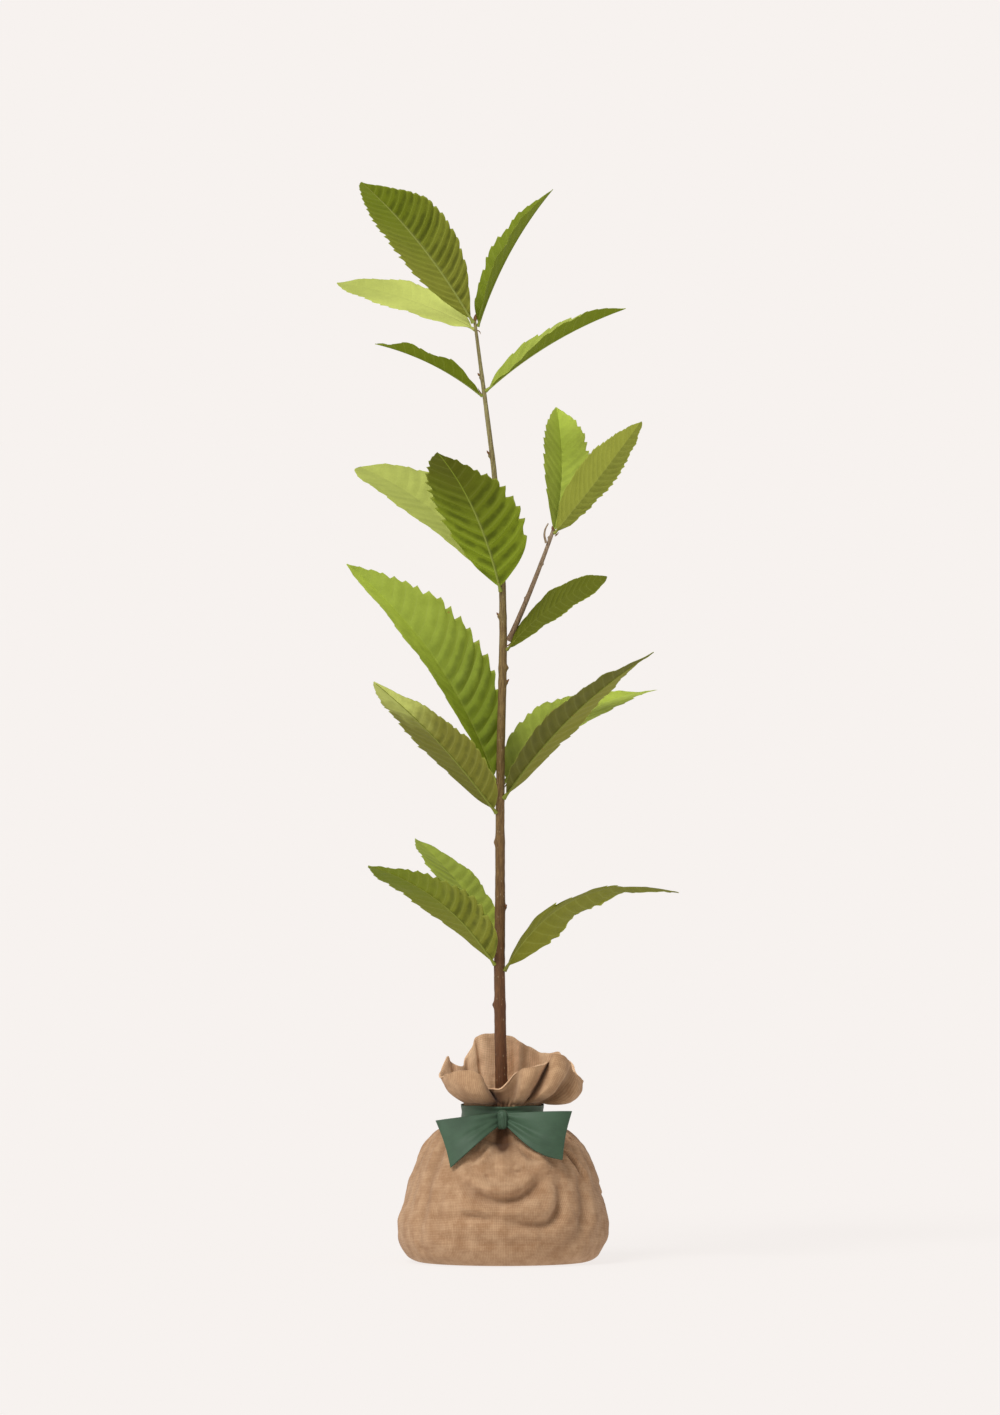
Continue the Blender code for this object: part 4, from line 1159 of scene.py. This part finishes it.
def leaf_finish(name, leaf):
    """A chestnut leaf's skin: a green that shifts from base to tip, partly its own and partly painted light
    and shade; painted shade that darkens one half more than the other; pleats painted light on one slope
    and dark on the other; paler veins, a fine net of veinlets, mottling and a thin yellow edge."""
    skin = Finish(name, specular_ior_level=0.12)
    u, v = skin.cut()
    where = skin.place()
    top, rib, clear = skin.value("upper"), skin.value("rib"), skin.value("clear")
    along = u / leaf["pairs"]
    phase = u.rest()
    side = (v - 0.5).size() * 2
    right_half = v.step(0.48, 0.52)
    from_vein = phase.least(1 - phase)
    vein = (1 - from_vein.step(0.02, 0.1)) * (1 - 0.7 * side.step(0.7, 1.0))
    near_rib = 1 - side.step(0.0, 0.06)
    mottle = skin.noise(where, 0.1, 3.0)
    grain = skin.noise(where, 0.55, 3.0, 0.6)
    net = skin.node("ShaderNodeTexVoronoi", {"feature": "DISTANCE_TO_EDGE"},
                    {"Vector": where, "Scale": 0.8})
    net = 1 - net.step(0.02, 0.14)
    length_share = (along + 0.2 * mottle - 0.1).step(*leaf.get("turn", TURN))
    upper, under = leaf.get("upper", UPPER_GREENS), leaf.get("under", UNDER_GREENS)
    lit = skin.mix(length_share, *upper)
    dull = skin.mix(length_share, *under)
    green = skin.mix(top, dull, lit)
    # Painted shade: a half turned away from the light is mixed towards black by its share.
    painted_shade_left, painted_shade_right = leaf.get("shade", (0, 0))
    green = skin.mix(painted_shade_left + (painted_shade_right - painted_shade_left) * right_half, green, BLACK)
    # Painted light and shade on the pleats: one slope of each pleat is mixed towards a dark green and the
    # other left light, strongest where the pleats are clear.
    pleat_shade_left, pleat_shade_right = (min(0.34 * leaf[half][-1], 0.9) for half in ("left", "right"))
    patchy = skin.noise(where, 0.075, 2.0).step(0.3, 0.62) * (1 - side.step(0.55, 1.05) * 0.6)
    pleat = (pleat_shade_left + (pleat_shade_right - pleat_shade_left) * right_half) * clear * (0.25 + 0.75 * patchy)
    slope = ((phase + 0.35 * mottle + 0.12 * grain - 0.4) * 2 * pi).sine() * 0.5 + 0.5
    green = skin.mix(pleat * slope.step(0.1, 1.0), green, skin.mix(0.72, green, PAINTED_PLEAT_SHADE))
    blotchy = (0.5 * grain + 0.6 * mottle).step(0.35, 0.75)
    green = skin.mix(blotchy, skin.mix(0.14, green, BLOTCH), green)
    pale = skin.mix(0.5, green, VEIN_GREEN)
    green = skin.mix(0.07 * net, green, pale)
    raised = clear * (leaf["rib"] * near_rib).top((0.3 + leaf["rib"]) * rib)
    green = skin.mix((0.15 * vein).top(raised), green, pale)
    green = skin.mix(0.4 * side.step(0.94, 0.99) * (1 - rib), green, EDGE_GREEN)
    speck = skin.noise(where, 0.32, 2.0) * (0.55 + 0.5 * side)
    green = skin.mix(0.6 * speck.step(0.72, 0.77), green, SPECK_BROWN)
    skin.feed("Base Color", green)
    skin.feed("Roughness", 0.66 - 0.1 * top + 0.12 * grain)
    skin.relief(0.4 * (1 - net) + 0.5 * grain - 0.5 * vein * top, 0.12, 0.3)
    return skin.material


for number, (leaf_name, leaf) in enumerate(LEAVES.items()):
    foot = leaf_base(leaf)
    patches = [leaf_blade(leaf, foot, 100 + number), leaf_rib(leaf, foot)]
    blade = build(f"chestnut_{leaf_name}", patches, smooth_to=75)
    blade.data.materials.append(leaf_finish(f"green of {leaf_name}", leaf))
    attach(blade, "root")
    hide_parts(leaf_name)

# ---------------------------------------------------------------------------------------------------
# The studio. A wide matt floor and a backdrop of the same warm white, soft light from all round, and a
# large soft lamp on the upper left. A long lens looks from far off, level with the middle of the plant.

BACKGROUND = srgb(247, 242, 239)
AMBIENT = 0.5
FLOOR_GLOW = 0.88
# Lamps: where each shines from, its strength and how wide it is seen, in degrees.
LAMPS = {
    "main lamp": ((-0.42, -0.60, 0.82), 2.0, 22),
    "side lamp": ((-1.0, -0.15, 0.3), 0.38, 60),
}
VIEW_TARGET = (-0.0018, 0.0, 0.4096)
VIEW_DISTANCE, VIEW_RISE = 12.0, radians(1.5)
FRAME_HEIGHT, SENSOR, SEES_TO = 1.0443, 36.0, 200
FLOOR_HALF, FLOOR_DROP = 60000, 0.3


def matt_floor():
    """Warm white paint with a barely visible grain. Its tone is the backdrop's, divided by the light that
    reaches the floor: the light from all round and each lamp's, by the sine of its height. Part of the
    light comes through it, as on a light table, which keeps shadows faint."""
    paint = Finish("studio floor", roughness=0.95, specular_ior_level=0.0)
    lit = sum(strength / pi * start[2] / float(np.linalg.norm(start))
              for start, strength, _ in LAMPS.values())
    level = tuple(part / (AMBIENT * part + lit) for part in BACKGROUND)
    grain = paint.noise(paint.place(), 0.02, 2.0)
    level = tuple((1 - FLOOR_GLOW) * part for part in level)
    paint.feed("Base Color", paint.mix(0.01 * grain, level, tuple(0.9 * part for part in level)))
    paint.shader.inputs["Emission Color"].default_value = (*BACKGROUND, 1)
    paint.shader.inputs["Emission Strength"].default_value = FLOOR_GLOW
    return paint.material


ends = (-FLOOR_HALF, FLOOR_HALF)
floor_corners = np.array([[(x, y, -FLOOR_DROP) for x in ends] for y in ends], float)
floor = build("studio_floor", [dict(points=floor_corners, wraps=False)])
floor.data.materials.append(matt_floor())

world = bpy.data.worlds.new("studio")
world.use_nodes = True
sky = world.node_tree
backdrop = sky.nodes["Background"]
backdrop.inputs["Color"].default_value = (*BACKGROUND, 1)
glow = sky.nodes.new("ShaderNodeBackground")
glow.inputs["Color"].default_value = (*BACKGROUND, 1)
glow.inputs["Strength"].default_value = AMBIENT
seen = sky.nodes.new("ShaderNodeMixShader")
sky.links.new(sky.nodes.new("ShaderNodeLightPath").outputs["Is Camera Ray"], seen.inputs[0])
sky.links.new(glow.outputs[0], seen.inputs[1])
sky.links.new(backdrop.outputs[0], seen.inputs[2])
sky.links.new(seen.outputs[0], sky.nodes["World Output"].inputs["Surface"])
bpy.context.scene.world = world
bpy.context.scene.view_settings.view_transform = "Standard"

for lamp_name, (start, strength, spread) in LAMPS.items():
    lamp = bpy.data.objects.new(lamp_name, bpy.data.lights.new(lamp_name, "SUN"))
    lamp.data.energy = strength
    lamp.data.angle = radians(spread)
    tilt = atan2(sqrt(start[0] ** 2 + start[1] ** 2), start[2])
    lamp.rotation_euler = (tilt, 0, atan2(start[0], -start[1]))
    bpy.context.scene.collection.objects.link(lamp)

camera = bpy.data.objects.new("camera", bpy.data.cameras.new("camera"))
bpy.context.scene.collection.objects.link(camera)
camera.location = (
    VIEW_TARGET[0],
    VIEW_TARGET[1] - VIEW_DISTANCE * cos(VIEW_RISE),
    VIEW_TARGET[2] + VIEW_DISTANCE * sin(VIEW_RISE),
)
camera.rotation_euler = (pi / 2 - VIEW_RISE, 0, 0)
camera.data.sensor_width = SENSOR
camera.data.lens = SENSOR * VIEW_DISTANCE / FRAME_HEIGHT
camera.data.clip_end = SEES_TO
bpy.context.scene.camera = camera
